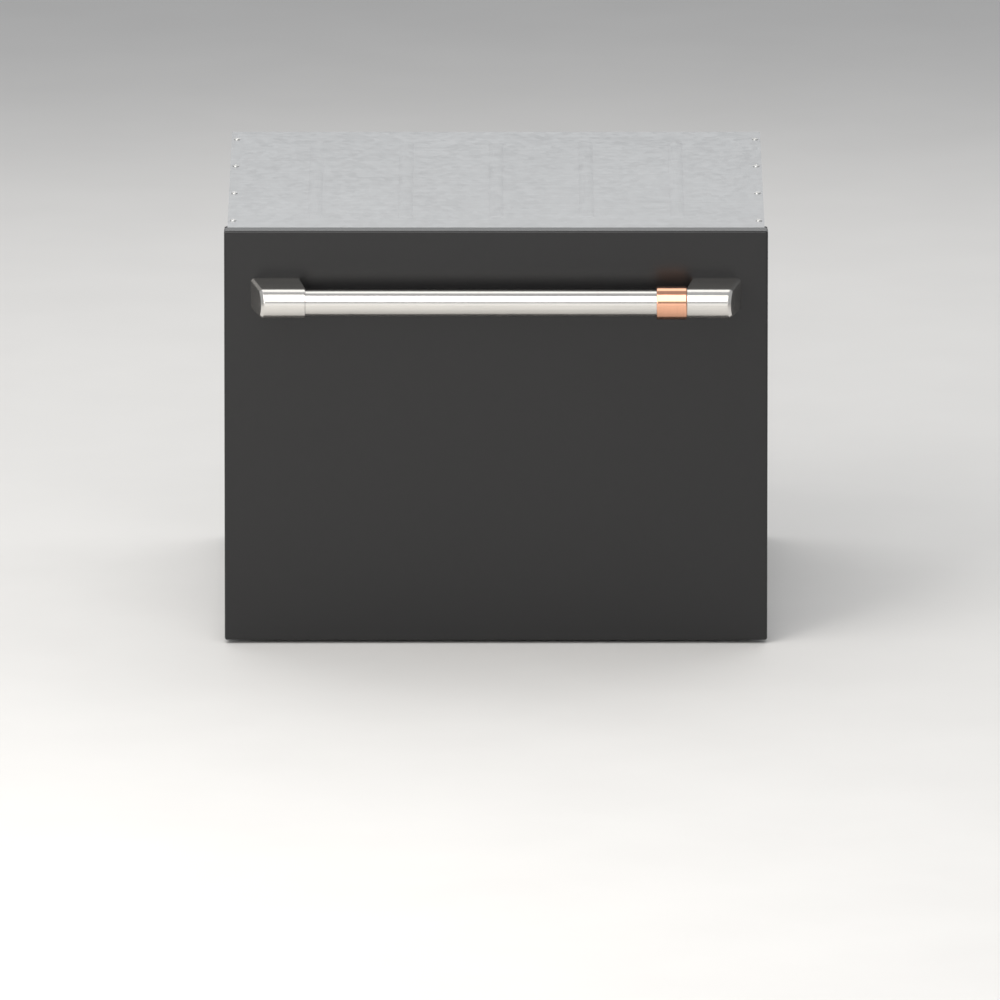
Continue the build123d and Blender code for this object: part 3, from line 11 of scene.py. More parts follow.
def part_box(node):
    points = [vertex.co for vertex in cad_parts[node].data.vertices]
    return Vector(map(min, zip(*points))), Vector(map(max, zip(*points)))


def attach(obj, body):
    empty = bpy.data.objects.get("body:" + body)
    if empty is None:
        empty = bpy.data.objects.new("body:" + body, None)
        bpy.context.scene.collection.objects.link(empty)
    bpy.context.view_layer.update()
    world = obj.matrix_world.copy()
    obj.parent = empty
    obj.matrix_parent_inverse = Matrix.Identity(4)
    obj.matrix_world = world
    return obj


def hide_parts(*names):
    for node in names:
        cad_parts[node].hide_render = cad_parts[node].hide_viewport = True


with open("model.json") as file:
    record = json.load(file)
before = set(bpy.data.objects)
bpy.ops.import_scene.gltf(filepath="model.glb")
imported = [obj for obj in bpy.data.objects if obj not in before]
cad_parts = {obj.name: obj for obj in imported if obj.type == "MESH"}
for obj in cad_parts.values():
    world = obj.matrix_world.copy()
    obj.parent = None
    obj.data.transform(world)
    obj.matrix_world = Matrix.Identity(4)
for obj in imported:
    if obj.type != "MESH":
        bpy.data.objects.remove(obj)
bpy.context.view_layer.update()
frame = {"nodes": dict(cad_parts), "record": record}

bl_info = {
    "name": "Drawer Dishwasher",
    "version": (1, 0, 0),
    "blender": (4, 5, 0),
    "location": "View3D > Sidebar > Dishwasher",
    "description": "Dresses the frame of a single-drawer built-in dishwasher",
    "category": "Object",
}

MM = 0.001
RIGHT, BACK, UP = Vector((1, 0, 0)), Vector((0, 1, 0)), Vector((0, 0, 1))
ORIGIN = (0.0, 0.0, 0.0)
SIDES = (("left", -1), ("right", 1))
SAME_PLACE = 1e-6
FLAT_ANGLE = radians(0.3)
SHARP_ANGLE = 32.0
ROOT = 0.2 * MM
RECORD = frame["record"]
SLOT_OF = {part["node"]: part["material_slot"] for part in RECORD["subparts"]}
COLOUR_OF = {material["slot"]: material["base_color"] for material in RECORD["materials"]}
BODY_OF = {node: body for body, nodes in RECORD["behaviour"]["bodies"].items() for node in nodes}


def node_box(name):
    """Lowest corner, highest corner and middle of a solid of the frame."""
    low, high = (Vector(corner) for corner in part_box(name))
    return low, high, (low + high) / 2


def merged_copy(node):
    """The mesh of a node of the frame as a bmesh, with its triangles joined into flat faces."""
    bm = bmesh.new()
    bm.from_mesh(frame["nodes"][node].data)
    bmesh.ops.remove_doubles(bm, verts=bm.verts, dist=SAME_PLACE)
    bmesh.ops.dissolve_limit(bm, angle_limit=FLAT_ANGLE, verts=bm.verts, edges=bm.edges)
    bm.normal_update()
    return bm


def solid_boxes(node):
    """Lowest and highest corner of each separate solid of a node."""
    bm = merged_copy(node)
    waiting = set(bm.verts)
    boxes = []
    while waiting:
        found = [waiting.pop()]
        for vert in found:
            near = {edge.other_vert(vert) for edge in vert.link_edges} & waiting
            waiting -= near
            found.extend(near)
        places = list(zip(*(vert.co for vert in found)))
        boxes.append(tuple(Vector([pick(values) for values in places]) for pick in (min, max)))
    bm.free()
    return sorted(boxes, key=lambda box: box[0][:])


# Node trees


class Node:
    """An output of a node tree that takes part in Python arithmetic."""

    def __init__(self, tree, socket=None):
        self.tree = tree
        self.socket = socket

    def add(self, kind, settings=None, inputs=None, output=0):
        """Adds a node: first its settings, then the values or links of its sockets."""
        node = self.tree.nodes.new(kind)
        for name, value in (settings or {}).items():
            setattr(node, name, value)
        for name, value in (inputs or {}).items():
            if isinstance(value, Node):
                self.tree.links.new(value.socket, node.inputs[name])
            else:
                node.inputs[name].default_value = value
        return Node(self.tree, node.outputs[output] if node.outputs else None)

    def maths(self, operation, first, second=0.0):
        """A Math node on two values."""
        return self.add("ShaderNodeMath", {"operation": operation}, {0: first, 1: second})

    def vectors(self, operation, first, second=ORIGIN, output=0):
        """A Vector Math node on two vectors, or on a vector and a number where it scales."""
        key = "Scale" if operation == "SCALE" else 1
        return self.add("ShaderNodeVectorMath", {"operation": operation}, {0: first, key: second}, output)

    def given(self, label):
        """A named input of a geometry tree."""
        return self.add("NodeGroupInput", output=label)

    def __add__(self, other):
        return self.maths("ADD", self, other)

    def __radd__(self, other):
        return self.maths("ADD", other, self)

    def __sub__(self, other):
        return self.maths("SUBTRACT", self, other)

    def __rsub__(self, other):
        return self.maths("SUBTRACT", other, self)

    def __mul__(self, other):
        return self.maths("MULTIPLY", self, other)

    def __rmul__(self, other):
        return self.maths("MULTIPLY", other, self)

    def __truediv__(self, other):
        return self.maths("DIVIDE", self, other)

    def __rtruediv__(self, other):
        return self.maths("DIVIDE", other, self)

    def __lt__(self, other):
        return self.maths("LESS_THAN", self, other)

    def __gt__(self, other):
        return self.maths("GREATER_THAN", self, other)


def object_place(net, scale=(1.0, 1.0, 1.0)):
    """The piece's own coordinates, stretched."""
    coordinates = net.add("ShaderNodeTexCoord", output="Object")
    return net.add("ShaderNodeMapping", inputs={"Vector": coordinates, "Scale": scale})


def noise(net, scale, detail=2.0, place=None):
    """Noise between 0 and 1, in features of about 1 / scale metres."""
    place = place or object_place(net)
    return net.add("ShaderNodeTexNoise", inputs={"Vector": place, "Scale": scale, "Detail": detail})


def remap(net, value, low, high):
    """Noise, most of which lies between 0.3 and 0.7, stretched to lie between low and high."""
    inputs = {"Value": value, "From Min": 0.3, "From Max": 0.7, "To Min": low, "To Max": high}
    return net.add("ShaderNodeMapRange", inputs=inputs)


def toned(net, value, colour, dark, light):
    """A colour that noise makes darker and lighter, by two factors."""
    shades = [[min(1.0, channel * factor) for channel in colour[:3]] + [1.0] for factor in (dark, light)]
    factor, first, second, mixed = 0, 6, 7, 2
    inputs = {factor: remap(net, value, 0.0, 1.0), first: shades[0], second: shades[1]}
    return net.add("ShaderNodeMix", {"data_type": "RGBA"}, inputs, mixed)


def bump(net, height, strength, depth):
    """A normal that follows a height."""
    return net.add("ShaderNodeBump", inputs={"Height": height, "Strength": strength, "Distance": depth})


def new_material(name, recipe, colour, **values):
    """A material whose shader takes what a recipe gives for each of its sockets."""
    material = bpy.data.materials.new(name)
    material.use_nodes = True
    material.node_tree.nodes.clear()
    net = Node(material.node_tree)
    surface = net.add("ShaderNodeBsdfPrincipled", inputs=recipe(net, colour, **values))
    net.add("ShaderNodeOutputMaterial", inputs={"Surface": surface})
    return material


# Recipes of materials


def painted(net, colour, roughness=0.42, contrast=0.04):
    """Satin powder paint: a fine orange peel and faint clouding."""
    return {
        "Base Color": toned(net, noise(net, 5.0, 3.0), colour, 1 - contrast, 1 + contrast),
        "Roughness": remap(net, noise(net, 60.0, 4.0), roughness - 0.002, roughness + 0.002),
        "Normal": bump(net, noise(net, 900.0), strength=0.06, depth=0.04 * MM),
        "Specular IOR Level": 0.5,
    }


def brushed(net, colour, stretch=(200.0,) * 3, roughness=0.3, depth=0.25, contrast=0.12, metallic=1.0):
    """Metal brushed along one axis, with lines of uneven brightness."""
    lines = noise(net, 1.0, 4.0, object_place(net, stretch))
    broad = noise(net, 12.0)
    return {
        "Base Color": toned(net, lines * 0.7 + broad * 0.3, colour, 1 - contrast, 1 + contrast),
        "Metallic": metallic,
        "Roughness": remap(net, lines, 0.8 * roughness, 1.3 * roughness),
        "Normal": bump(net, lines, strength=depth, depth=0.06 * MM),
    }


def galvanised(net, colour):
    """Zinc-coated sheet: fine crystal spangle, faint rolling lines and dull patches."""
    cells = {"Vector": object_place(net), "Scale": 130.0, "Randomness": 1.0}
    spangle = net.add("ShaderNodeTexVoronoi", {"feature": "F1"}, cells, "Color")
    grey = net.add("ShaderNodeRGBToBW", inputs={"Color": spangle})
    cloud = noise(net, 6.0, 5.0)
    rolled = noise(net, 1.0, 3.0, object_place(net, (4.0, 160.0, 160.0)))
    dents = noise(net, 14.0) * 0.9 + noise(net, 400.0, 3.0) * 0.1
    return {
        "Base Color": toned(net, grey * 0.45 + cloud * 0.25 + rolled * 0.3, colour, 0.66, 0.82),
        "Metallic": 0.85,
        "Roughness": remap(net, grey * 0.6 + cloud * 0.4, 0.4, 0.56),
        "Normal": bump(net, dents, strength=0.05, depth=2.0 * MM),
    }


def moulded(net, colour, roughness=0.45, grain=700.0, depth=0.06):
    """Moulded plastic: spark-eroded grain, faint flow marks and handling marks."""
    return {
        "Base Color": toned(net, noise(net, 7.0, 3.0), colour, 0.93, 1.06),
        "Roughness": remap(net, noise(net, 30.0, 4.0), roughness - 0.02, roughness + 0.02),
        "Normal": bump(net, noise(net, grain, 3.0), strength=depth, depth=0.2 * MM),
        "Specular IOR Level": 0.4,
    }


def rubber(net, colour, bloom_scale=45.0):
    """Matte rubber with a fine grain and a faint bloom."""
    bloom = noise(net, bloom_scale, 5.0)
    return {
        "Base Color": toned(net, bloom, colour, 0.8, 1.5),
        "Roughness": remap(net, bloom, 0.72, 0.9),
        "Normal": bump(net, noise(net, 1400.0), strength=0.15, depth=0.2 * MM),
        "Specular IOR Level": 0.25,
    }


def lens_glass(net, colour):
    """Smoked window of a display: glossy, with faint rubbing marks."""
    smears = noise(net, 90.0, 5.0)
    return {
        "Base Color": toned(net, smears, colour, 0.7, 1.4),
        "Roughness": remap(net, smears, 0.06, 0.16),
        "Coat Weight": 0.6,
        "Specular IOR Level": 0.6,
    }


LENGTHWISE = (900.0, 8.0, 900.0)
CROSSWISE = (8.0, 900.0, 900.0)
ALONG_HANDLE = (6.0, 900.0, 900.0)
ROUND_RING = (500.0, 30.0, 30.0)
POLISHED = {"depth": 0.02, "contrast": 0.05}
WIRE_COATING = {"roughness": 0.38, "depth": 0.05}
FINISHES = {
    "front_paint": (painted, {"roughness": 0.27}),
    "handle_steel": (brushed, {"stretch": ALONG_HANDLE, "roughness": 0.17, "metallic": 0.95, **POLISHED}),
    "copper": (brushed, {"stretch": ROUND_RING, "roughness": 0.12, **POLISHED}),
    "galvanised": (galvanised, {}),
    "screw_steel": (brushed, {"roughness": 0.35, "depth": 0.1}),
    "runner_steel": (brushed, {"stretch": LENGTHWISE, "depth": 0.1, "contrast": 0.07}),
    "seal_rubber": (rubber, {}),
    "grommet_rubber": (rubber, {}),
    "dark_plastic": (moulded, {"roughness": 0.5, "grain": 900.0, "depth": 0.12}),
    "panel_plastic": (moulded, {"roughness": 0.24, "grain": 600.0, "depth": 0.03}),
    "button_plastic": (moulded, {"roughness": 0.3, "grain": 800.0, "depth": 0.05}),
    "tub_plastic": (moulded, {"roughness": 0.4, "grain": 500.0}),
    "lid_plastic": (moulded, {"grain": 500.0}),
    "nylon": (moulded, {"roughness": 0.5, "grain": 500.0, "depth": 0.08}),
    "rack_coating": (moulded, WIRE_COATING),
    "tine_coating": (moulded, WIRE_COATING),
    "grey_plastic": (moulded, {"roughness": 0.42}),
    "basket_plastic": (moulded, {"roughness": 0.42}),
    "filter_steel": (brushed, {"stretch": CROSSWISE}),
    "heater_steel": (brushed, {"stretch": (60.0,) * 3, "roughness": 0.42}),
    "arm_plastic": (moulded, {"roughness": 0.4}),
    "flap_plastic": (moulded, {"roughness": 0.3, "depth": 0.04}),
    "board_green": (moulded, {"roughness": 0.3, "grain": 300.0, "depth": 0.1}),
    "motor_case": (painted, {"roughness": 0.45}),
    "felt": (rubber, {"bloom_scale": 400.0}),
    "mark_print": (moulded, {"roughness": 0.5}),
}


def finish(slot, colour=None):
    """The material of a slot, made when it is first asked for. The slot's own name is the frame's."""
    name = slot + "_finish"
    made = bpy.data.materials.get(name)
    if made is None:
        recipe, values = FINISHES[slot]
        made = new_material(name, recipe, colour or COLOUR_OF[slot], **values)
    return made


# Mesh building


def piece_of(name, mesh, slot, body, smooth=35.0, replaces=(), material=None):
    """Makes a mesh a piece that rides on a body, with flat faces kept flat beside rounded edges."""
    mesh.name = name
    mesh.shade_smooth()
    mesh.set_sharp_from_angle(angle=radians(smooth))
    mesh.materials.clear()
    mesh.materials.append(material or finish(slot))
    piece = bpy.data.objects.new(name, mesh)
    bpy.context.scene.collection.objects.link(piece)
    weighted = piece.modifiers.new("flat_faces", "WEIGHTED_NORMAL")
    weighted.keep_sharp = True
    depsgraph = bpy.context.evaluated_depsgraph_get()
    piece.data = bpy.data.meshes.new_from_object(piece.evaluated_get(depsgraph))
    piece.modifiers.clear()
    bpy.data.meshes.remove(mesh)
    piece.data.name = name
    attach(piece, body)
    if replaces:
        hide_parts(*replaces)
    return piece


def mesh_of(name, bm):
    """The mesh of a bmesh whose faces are turned outwards."""
    bmesh.ops.remove_doubles(bm, verts=bm.verts, dist=SAME_PLACE)
    bmesh.ops.recalc_face_normals(bm, faces=bm.faces)
    return plain_mesh(name, bm)


def plain_mesh(name, bm):
    """The mesh of a bmesh as it is."""
    mesh = bpy.data.meshes.new(name)
    bm.to_mesh(mesh)
    bm.free()
    return mesh


def finished(name, bm, slot, body="drawer", **looks):
    """Turns a bmesh into a piece that rides on a body."""
    return piece_of(name, mesh_of(name, bm), slot, body, **looks)


def softened(node, radius=0.4 * MM, name=None):
    """A piece that stands for a node of the frame, with its moulded or rolled edges rounded."""
    bm = merged_copy(node)
    pierced = [face for face in bm.faces if len(face.verts) > 4]
    bmesh.ops.triangulate(bm, faces=pierced, ngon_method="BEAUTY")
    bevel_edges(bm, radius, SHARP_ANGLE)
    name = name or "soft_" + node
    return piece_of(name, plain_mesh(node, bm), SLOT_OF[node], BODY_OF[node], 50.0, (node,))


def bevel_edges(bm, width, angle):
    """Rounds every edge that is sharper than an angle."""
    bm.normal_update()
    folds = [edge for edge in bm.edges if len(edge.link_faces) == 2]
    sharp = [edge for edge in folds if edge.calc_face_angle() > radians(angle)]
    shape = {"segments": 2, "profile": 0.5, "affect": "EDGES", "clamp_overlap": False}
    bmesh.ops.bevel(bm, geom=sharp, offset=width, **shape)


def moved(bm, place):
    """Shifts a shape."""
    bmesh.ops.translate(bm, verts=bm.verts, vec=place)
    return bm


def laid(bm, along, out, origin=ORIGIN):
    """Turns a shape made in X and raised in Z to lie along one direction and stand out in another."""
    turn = Matrix((along, out.cross(along), out)).transposed().to_4x4()
    bmesh.ops.transform(bm, verts=bm.verts, matrix=Matrix.Translation(origin) @ turn)
    return bm


def skin_loops(bm, loops, closed=True, cap=True):
    """Faces between loops of points, each loop closed on itself, with a face on each end."""
    rings = [[bm.verts.new(point) for point in loop] for loop in loops]
    count = len(rings[0])
    for first, second in zip(rings, rings[1:]):
        for i in range(count if closed else count - 1):
            j = (i + 1) % count
            bm.faces.new((first[i], first[j], second[j], second[i]))
    if cap:
        bm.faces.new(list(reversed(rings[0])))
        bm.faces.new(rings[-1])


def skinned(loops, **ends):
    """A new shape between loops of points."""
    bm = bmesh.new()
    skin_loops(bm, loops, **ends)
    return bm


def prism(bm, outline, low, high):
    """A straight solid over an outline in the XY plane."""
    skin_loops(bm, [[(x, y, z) for x, y in outline] for z in (low, high)])


def quarter_turn(steps):
    """Angles from none to a right angle."""
    return [pi / 2 * i / steps for i in range(steps + 1)]


def circle(radius, level, segments):
    """Points of a circle about the Z axis."""
    angles = [2 * pi * i / segments for i in range(segments)]
    return [(radius * cos(angle), radius * sin(angle), level) for angle in angles]


def arc(radius, start, end, steps=24):
    """Points of an arc about the origin, between two angles in degrees."""
    angles = [radians(start + (end - start) * i / steps) for i in range(steps + 1)]
    return [(radius * cos(angle), radius * sin(angle)) for angle in angles]


def turned(bm, profile, origin, axis, segments):
    """A closed profile of (along, radius) points turned about an axis through an origin."""
    side = axis.orthogonal().normalized()
    other = axis.cross(side)
    loops = []
    for across, up, _ in circle(1.0, 0.0, segments):
        out = side * across + other * up
        loops.append([Vector(origin) + axis * a + out * r for a, r in profile])
    loops.append(loops[0])
    skin_loops(bm, loops, closed=False, cap=False)


def rounded_ring(inner, outer, low, high, radius, steps=5):
    """The closed profile of a ring with rounded outer edges, as (along, radius) points."""
    turns = quarter_turn(steps)
    round_edge = [(radius * (1 - sin(turn)), outer - radius * (1 - cos(turn))) for turn in turns]
    rise = [(low + along, reach) for along, reach in reversed(round_edge)]
    fall = [(high - along, reach) for along, reach in round_edge]
    return [(low, inner)] + rise + fall + [(high, inner), (low, inner)]


def stadium(length, width, height, steps=8):
    """The outline of a long round-ended shape in the XY plane at a height."""
    radius, reach = width / 2, (length - width) / 2
    half_turn = [pi * (i / steps - 0.5) for i in range(steps + 1)]
    round_end = [(reach + radius * cos(angle), radius * sin(angle)) for angle in half_turn]
    return [(side * x, side * y, height) for side in (1, -1) for x, y in round_end]


def rounded_plate(size, radius, low, high, edge, steps=5):
    """A plate with round corners in plan and a rounded top edge, about the Z axis."""
    half_x, half_y = size[0] / 2 - radius, size[1] / 2 - radius

    def outline(inset, height):
        points = []
        for corner, (sx, sy) in enumerate(((1, 1), (-1, 1), (-1, -1), (1, -1))):
            for turn in quarter_turn(steps):
                angle, reach = corner * pi / 2 + turn, radius - inset
                points.append((sx * half_x + reach * cos(angle), sy * half_y + reach * sin(angle), height))
        return points

    rounding = [(edge * (1 - cos(turn)), high - edge * (1 - sin(turn))) for turn in quarter_turn(steps)]
    return skinned([outline(inset, height) for inset, height in [(0.0, low)] + rounding])


def pressed_bead(length, width, height):
    """A bead pressed out of sheet metal, long in X and raised in Z from z = 0."""
    rise = ((0.0, 0.0), (0.08, 0.35), (0.2, 0.75), (0.34, 0.96), (0.42, 1.0))
    levels = [(0.0, -ROOT)] + [(inset, level * height) for inset, level in rise]
    loops = [stadium(length - 2 * inset * width, width * (1 - 2 * inset), level) for inset, level in levels]
    return skinned(loops)


def drafted_rib(length, thickness, height, draft=0.3):
    """A moulded rib, long in X and standing in Z, thinner at its top."""
    loops = []
    for narrow, level in ((0.0, 0.0), (draft, 0.85), (1.6 * draft, 1.0)):
        x, y, z = length / 2 - narrow * thickness, thickness / 2 * (1 - narrow), level * height
        loops.append([(-x, -y, z), (x, -y, z), (x, y, z), (-x, y, z)])
    return skinned(loops)


def dome(radius, height, segments=16, rings=4):
    """A shallow dome about the Z axis on z = 0, such as a rivet's head or a lamp."""
    round_side = [(radius * cos(turn), height * sin(turn)) for turn in quarter_turn(rings)[:-1]]
    return skinned([circle(reach, level, segments) for reach, level in [(radius, -ROOT)] + round_side])


def ribbon(bm, points, width, low, high):
    """A raised line of even width along points in the XY plane."""
    loops = []
    for i, point in enumerate(points):
        ahead = Vector(points[min(i + 1, len(points) - 1)]) - Vector(points[max(i - 1, 0)])
        side = Vector((-ahead.y, ahead.x)).normalized() * width / 2
        left, right = Vector(point) + side, Vector(point) - side
        loops.append([(*left, low), (*right, low), (*right, high), (*left, high)])
    skin_loops(bm, loops)


# Geometry trees


ROWS_TREE, PLACED_TREE = "rows_of_a_shape", "shapes_on_points"


def new_tree(name, sockets):
    """A geometry tree with named inputs, given as label and kind."""
    tree = bpy.data.node_groups.new(name, "GeometryNodeTree")
    tree.interface.new_socket("Geometry", in_out="OUTPUT", socket_type="NodeSocketGeometry")
    for label, kind in {"Geometry": "Geometry", **sockets, "Finish": "Material"}.items():
        tree.interface.new_socket(label, in_out="INPUT", socket_type="NodeSocket" + kind)
    return Node(tree)


def end_tree(net, instances):
    """Ends a tree with real geometry in the finish that it is given."""
    real = net.add("GeometryNodeRealizeInstances", inputs={"Geometry": instances})
    dressed = net.add("GeometryNodeSetMaterial", inputs={"Geometry": real, "Material": net.given("Finish")})
    net.add("NodeGroupOutput", inputs={"Geometry": dressed})
    return net.tree


def rows_tree():
    """Copies of the shape that it is given, in columns and rows."""
    steps = {"Start": "Vector", "Column step": "Vector", "Row step": "Vector"}
    net = new_tree(ROWS_TREE, {"Columns": "Int", "Rows": "Int", **steps})
    columns = net.given("Columns")
    index = net.add("GeometryNodeInputIndex")
    column = net.maths("MODULO", index, columns)
    row = net.maths("FLOOR", index / columns)
    along = net.vectors("SCALE", net.given("Column step"), column)
    across = net.vectors("SCALE", net.given("Row step"), row)
    place = net.vectors("ADD", net.given("Start"), net.vectors("ADD", along, across))
    points = net.add("GeometryNodePoints", inputs={"Count": columns * net.given("Rows"), "Position": place})
    shapes = {"Points": points, "Instance": net.given("Geometry")}
    return end_tree(net, net.add("GeometryNodeInstanceOnPoints", inputs=shapes))


def placed_tree():
    """Copies of a shape on the points that it is given, each turned to face out of its surface."""
    net = new_tree(PLACED_TREE, {"Shape": "Object"})
    facing = net.add("GeometryNodeInputNamedAttribute", {"data_type": "FLOAT_VECTOR"}, {"Name": "facing"})
    turn = net.add("FunctionNodeAlignRotationToVector", {"axis": "Z"}, {"Vector": facing})
    shape = net.add("GeometryNodeObjectInfo", inputs={"Object": net.given("Shape")}, output="Geometry")
    shapes = {"Points": net.given("Geometry"), "Instance": shape, "Rotation": turn}
    return end_tree(net, net.add("GeometryNodeInstanceOnPoints", inputs=shapes))


def perforated_tree():
    """Copies of a pierced tile over a disc, clear of a tower in its middle and of a filter beside it."""
    sizes = {"Disc": "Float", "Tower": "Float", "Filter": "Float", "Pitch": "Float"}
    net = new_tree("perforated_disc", {"Count": "Int", **sizes, "Middle": "Vector", "Filter place": "Vector"})
    count, pitch = net.given("Count"), net.given("Pitch")
    width = (count - 1) * pitch
    inputs = {"Size X": width, "Size Y": width, "Vertices X": count, "Vertices Y": count}
    grid = net.add("GeometryNodeMeshGrid", inputs=inputs)
    place = net.add("GeometryNodeInputPosition")
    from_middle = net.vectors("LENGTH", place, output="Value")
    offset = net.vectors("SUBTRACT", net.given("Filter place"), net.given("Middle"))
    from_filter = net.vectors("DISTANCE", place, offset, output="Value")
    inside = (from_middle < net.given("Disc")) * (from_middle > net.given("Tower"))
    chosen = inside * (from_filter > net.given("Filter"))
    shapes = {"Points": grid, "Instance": net.given("Geometry"), "Selection": chosen}
    tiles = net.add("GeometryNodeInstanceOnPoints", inputs=shapes)
    place = {"Geometry": tiles, "Translation": net.given("Middle")}
    return end_tree(net, net.add("GeometryNodeTransform", inputs=place))


def grown(name, tree, start, values):
    """The plain mesh that a geometry tree makes from a starting mesh."""
    seed = bpy.data.objects.new(name, start)
    bpy.context.scene.collection.objects.link(seed)
    growth = seed.modifiers.new("growth", "NODES")
    growth.node_group = tree
    for item in tree.interface.items_tree:
        if item.in_out == "INPUT" and item.name in values:
            growth[item.identifier] = values[item.name]
    depsgraph = bpy.context.evaluated_depsgraph_get()
    mesh = bpy.data.meshes.new_from_object(seed.evaluated_get(depsgraph))
    bpy.data.objects.remove(seed)
    bpy.data.meshes.remove(start)
    if not mesh.polygons:
        raise RuntimeError(name + " came out empty")
    return mesh


def in_rows(name, bm, slot, start, column, row=(1, ORIGIN), body="drawer", **looks):
    """A piece made of a shape that is repeated in columns and rows, each given as count and step."""
    tree = bpy.data.node_groups.get(ROWS_TREE) or rows_tree()
    values = {"Start": start, "Finish": looks.get("material") or finish(slot)}
    values["Columns"], values["Column step"] = column
    values["Rows"], values["Row step"] = row
    return piece_of(name, grown(name, tree, mesh_of(name, bm), values), slot, body, **looks)


def on_points(name, bm, slot, body, places, **looks):
    """A piece made of a shape that is repeated on points, each given as place and outward direction."""
    tree = bpy.data.node_groups.get(PLACED_TREE) or placed_tree()
    points = bpy.data.meshes.new(name + "_points")
    points.from_pydata([place for place, _ in places], [], [])
    facing = points.attributes.new("facing", "FLOAT_VECTOR", "POINT")
    for value, (_, out) in zip(facing.data, places):
        value.vector = out
    shape = bpy.data.objects.new(name + "_shape", mesh_of(name, bm))
    mesh = grown(name, tree, points, {"Shape": shape, "Finish": finish(slot)})
    bpy.data.objects.remove(shape)
    return piece_of(name, mesh, slot, body, **looks)


# Settings


def colour_setting(name, description, default):
    """A colour that a user may change."""
    limits = {"size": 4, "min": 0.0, "max": 1.0, "subtype": "COLOR"}
    return bpy.props.FloatVectorProperty(name=name, description=description, default=default, **limits)


def length_setting(name, description, default):
    """A length that a user may change."""
    kind = {"unit": "LENGTH", "precision": 4}
    return bpy.props.FloatProperty(name=name, description=description, default=default, **kind)


def group_setting(kind, name, description):
    """The settings of one group of pieces."""
    return bpy.props.PointerProperty(type=kind, name=name, description=description)


class FrontSettings(bpy.types.PropertyGroup):
    paint: colour_setting("Paint", "Colour of the painted front", (0.006, 0.006, 0.0064, 1.0))
    fold_radius: length_setting("Fold radius", "Radius of the folded edges of the front", 2.5 * MM)
    sheet: length_setting("Sheet", "Thickness of the folded sheet", 1.0 * MM)
    rib_pitch: length_setting("Rib pitch", "Distance between the ribs on the inner plate", 46.0 * MM)
    rib_height: length_setting("Rib height", "Height of the ribs on the inner plate", 4.0 * MM)


class HandleSettings(bpy.types.PropertyGroup):
    steel: colour_setting("Steel", "Colour of the brushed bar and its ends", (0.72, 0.70, 0.665, 1.0))
    copper: colour_setting("Ring", "Colour of the accent ring", (0.88, 0.47, 0.31, 1.0))
    bar_wall: length_setting("Bar wall", "Wall of the tube", 1.5 * MM)
    inner_flare: length_setting("Inner flare", "Lean of the inner side of an end", 7.0 * MM)
    outer_flare: length_setting("Outer flare", "Lean of the outer side of an end", 9.2 * MM)
    end_chamfer: length_setting("End chamfer", "Chamfer round the outer side of an end", 2.8 * MM)
    plug: length_setting("Plug", "How far the plug of an end reaches into the bar", 22.0 * MM)


class ControlSettings(bpy.types.PropertyGroup):
    window: colour_setting("Window", "Colour of the smoked display window", (0.012, 0.012, 0.014, 1.0))
    lamp: colour_setting("Lamps", "Colour of the indicator lamps", (0.55, 0.57, 0.55, 1.0))
    mark: colour_setting("Marks", "Colour of the marks on the buttons", (0.62, 0.63, 0.64, 1.0))
    window_width: length_setting("Window width", "Width of the display window", 30.0 * MM)
    window_depth: length_setting("Window depth", "Depth of the display window", 12.0 * MM)
    mark_height: length_setting("Mark height", "How far a mark stands out of its button", 0.2 * MM)


class TubSettings(bpy.types.PropertyGroup):
    hole_pitch: length_setting("Hole pitch", "Distance between the holes of the filter plate", 7.0 * MM)
    hole_radius: length_setting("Hole radius", "Radius of the holes of the filter plate", 2.3 * MM)
    rib_height: length_setting("Rib height", "Height of the ribs outside the tub", 3.0 * MM)
    weld_radius: length_setting("Weld radius", "Radius of the coated welds of the rack", 3.0 * MM)


class ChassisSettings(bpy.types.PropertyGroup):
    bead_width: length_setting("Bead width", "Width of the pressed beads", 16.0 * MM)
    bead_height: length_setting("Bead height", "Height of the pressed beads", 1.2 * MM)
    weld_radius: length_setting("Weld radius", "Radius of the spot welds along the runners", 3.2 * MM)


class StageSettings(bpy.types.PropertyGroup):
    elevation: bpy.props.FloatProperty(
        name="Elevation", description="Height of the view above level", default=radians(12.0), unit="ROTATION"
    )
    distance: length_setting("Distance", "Distance of the camera from the front", 30.0)
    scale: bpy.props.FloatProperty(
        name="Scale", description="Pixels per metre of the front in a 1000 pixel picture", default=906.5
    )
    floor: colour_setting("Floor", "Colour of the floor", (0.71, 0.70, 0.685, 1.0))


class DishwasherSettings(bpy.types.PropertyGroup):
    front: group_setting(FrontSettings, "Front", "The drawer's front")
    handle: group_setting(HandleSettings, "Handle", "The bar handle")
    controls: group_setting(ControlSettings, "Controls", "The control ledge")
    tub: group_setting(TubSettings, "Tub", "The tub and what lies in it")
    chassis: group_setting(ChassisSettings, "Chassis", "The sheet-metal case")
    stage: group_setting(StageSettings, "Stage", "Floor, light and camera")


def settings():
    """The appliance's settings in the open scene."""
    return bpy.context.scene.dishwasher


# Operators


class DISHWASHER_OT_finishes(bpy.types.Operator):
    """Gives the carried-over solids their finishes"""

    bl_idname = "dishwasher.finishes"
    bl_label = "Finishes"

    def execute(self, context):
        look = settings()
        finish("front_paint", look.front.paint[:])
        finish("handle_steel", look.handle.steel[:])
        finish("copper", look.handle.copper[:])
        finish("mark_print", look.controls.mark[:])
        for node, slot in SLOT_OF.items():
            mesh = frame["nodes"][node].data
            mesh.materials.clear()
            mesh.materials.append(finish(slot))
        return {"FINISHED"}


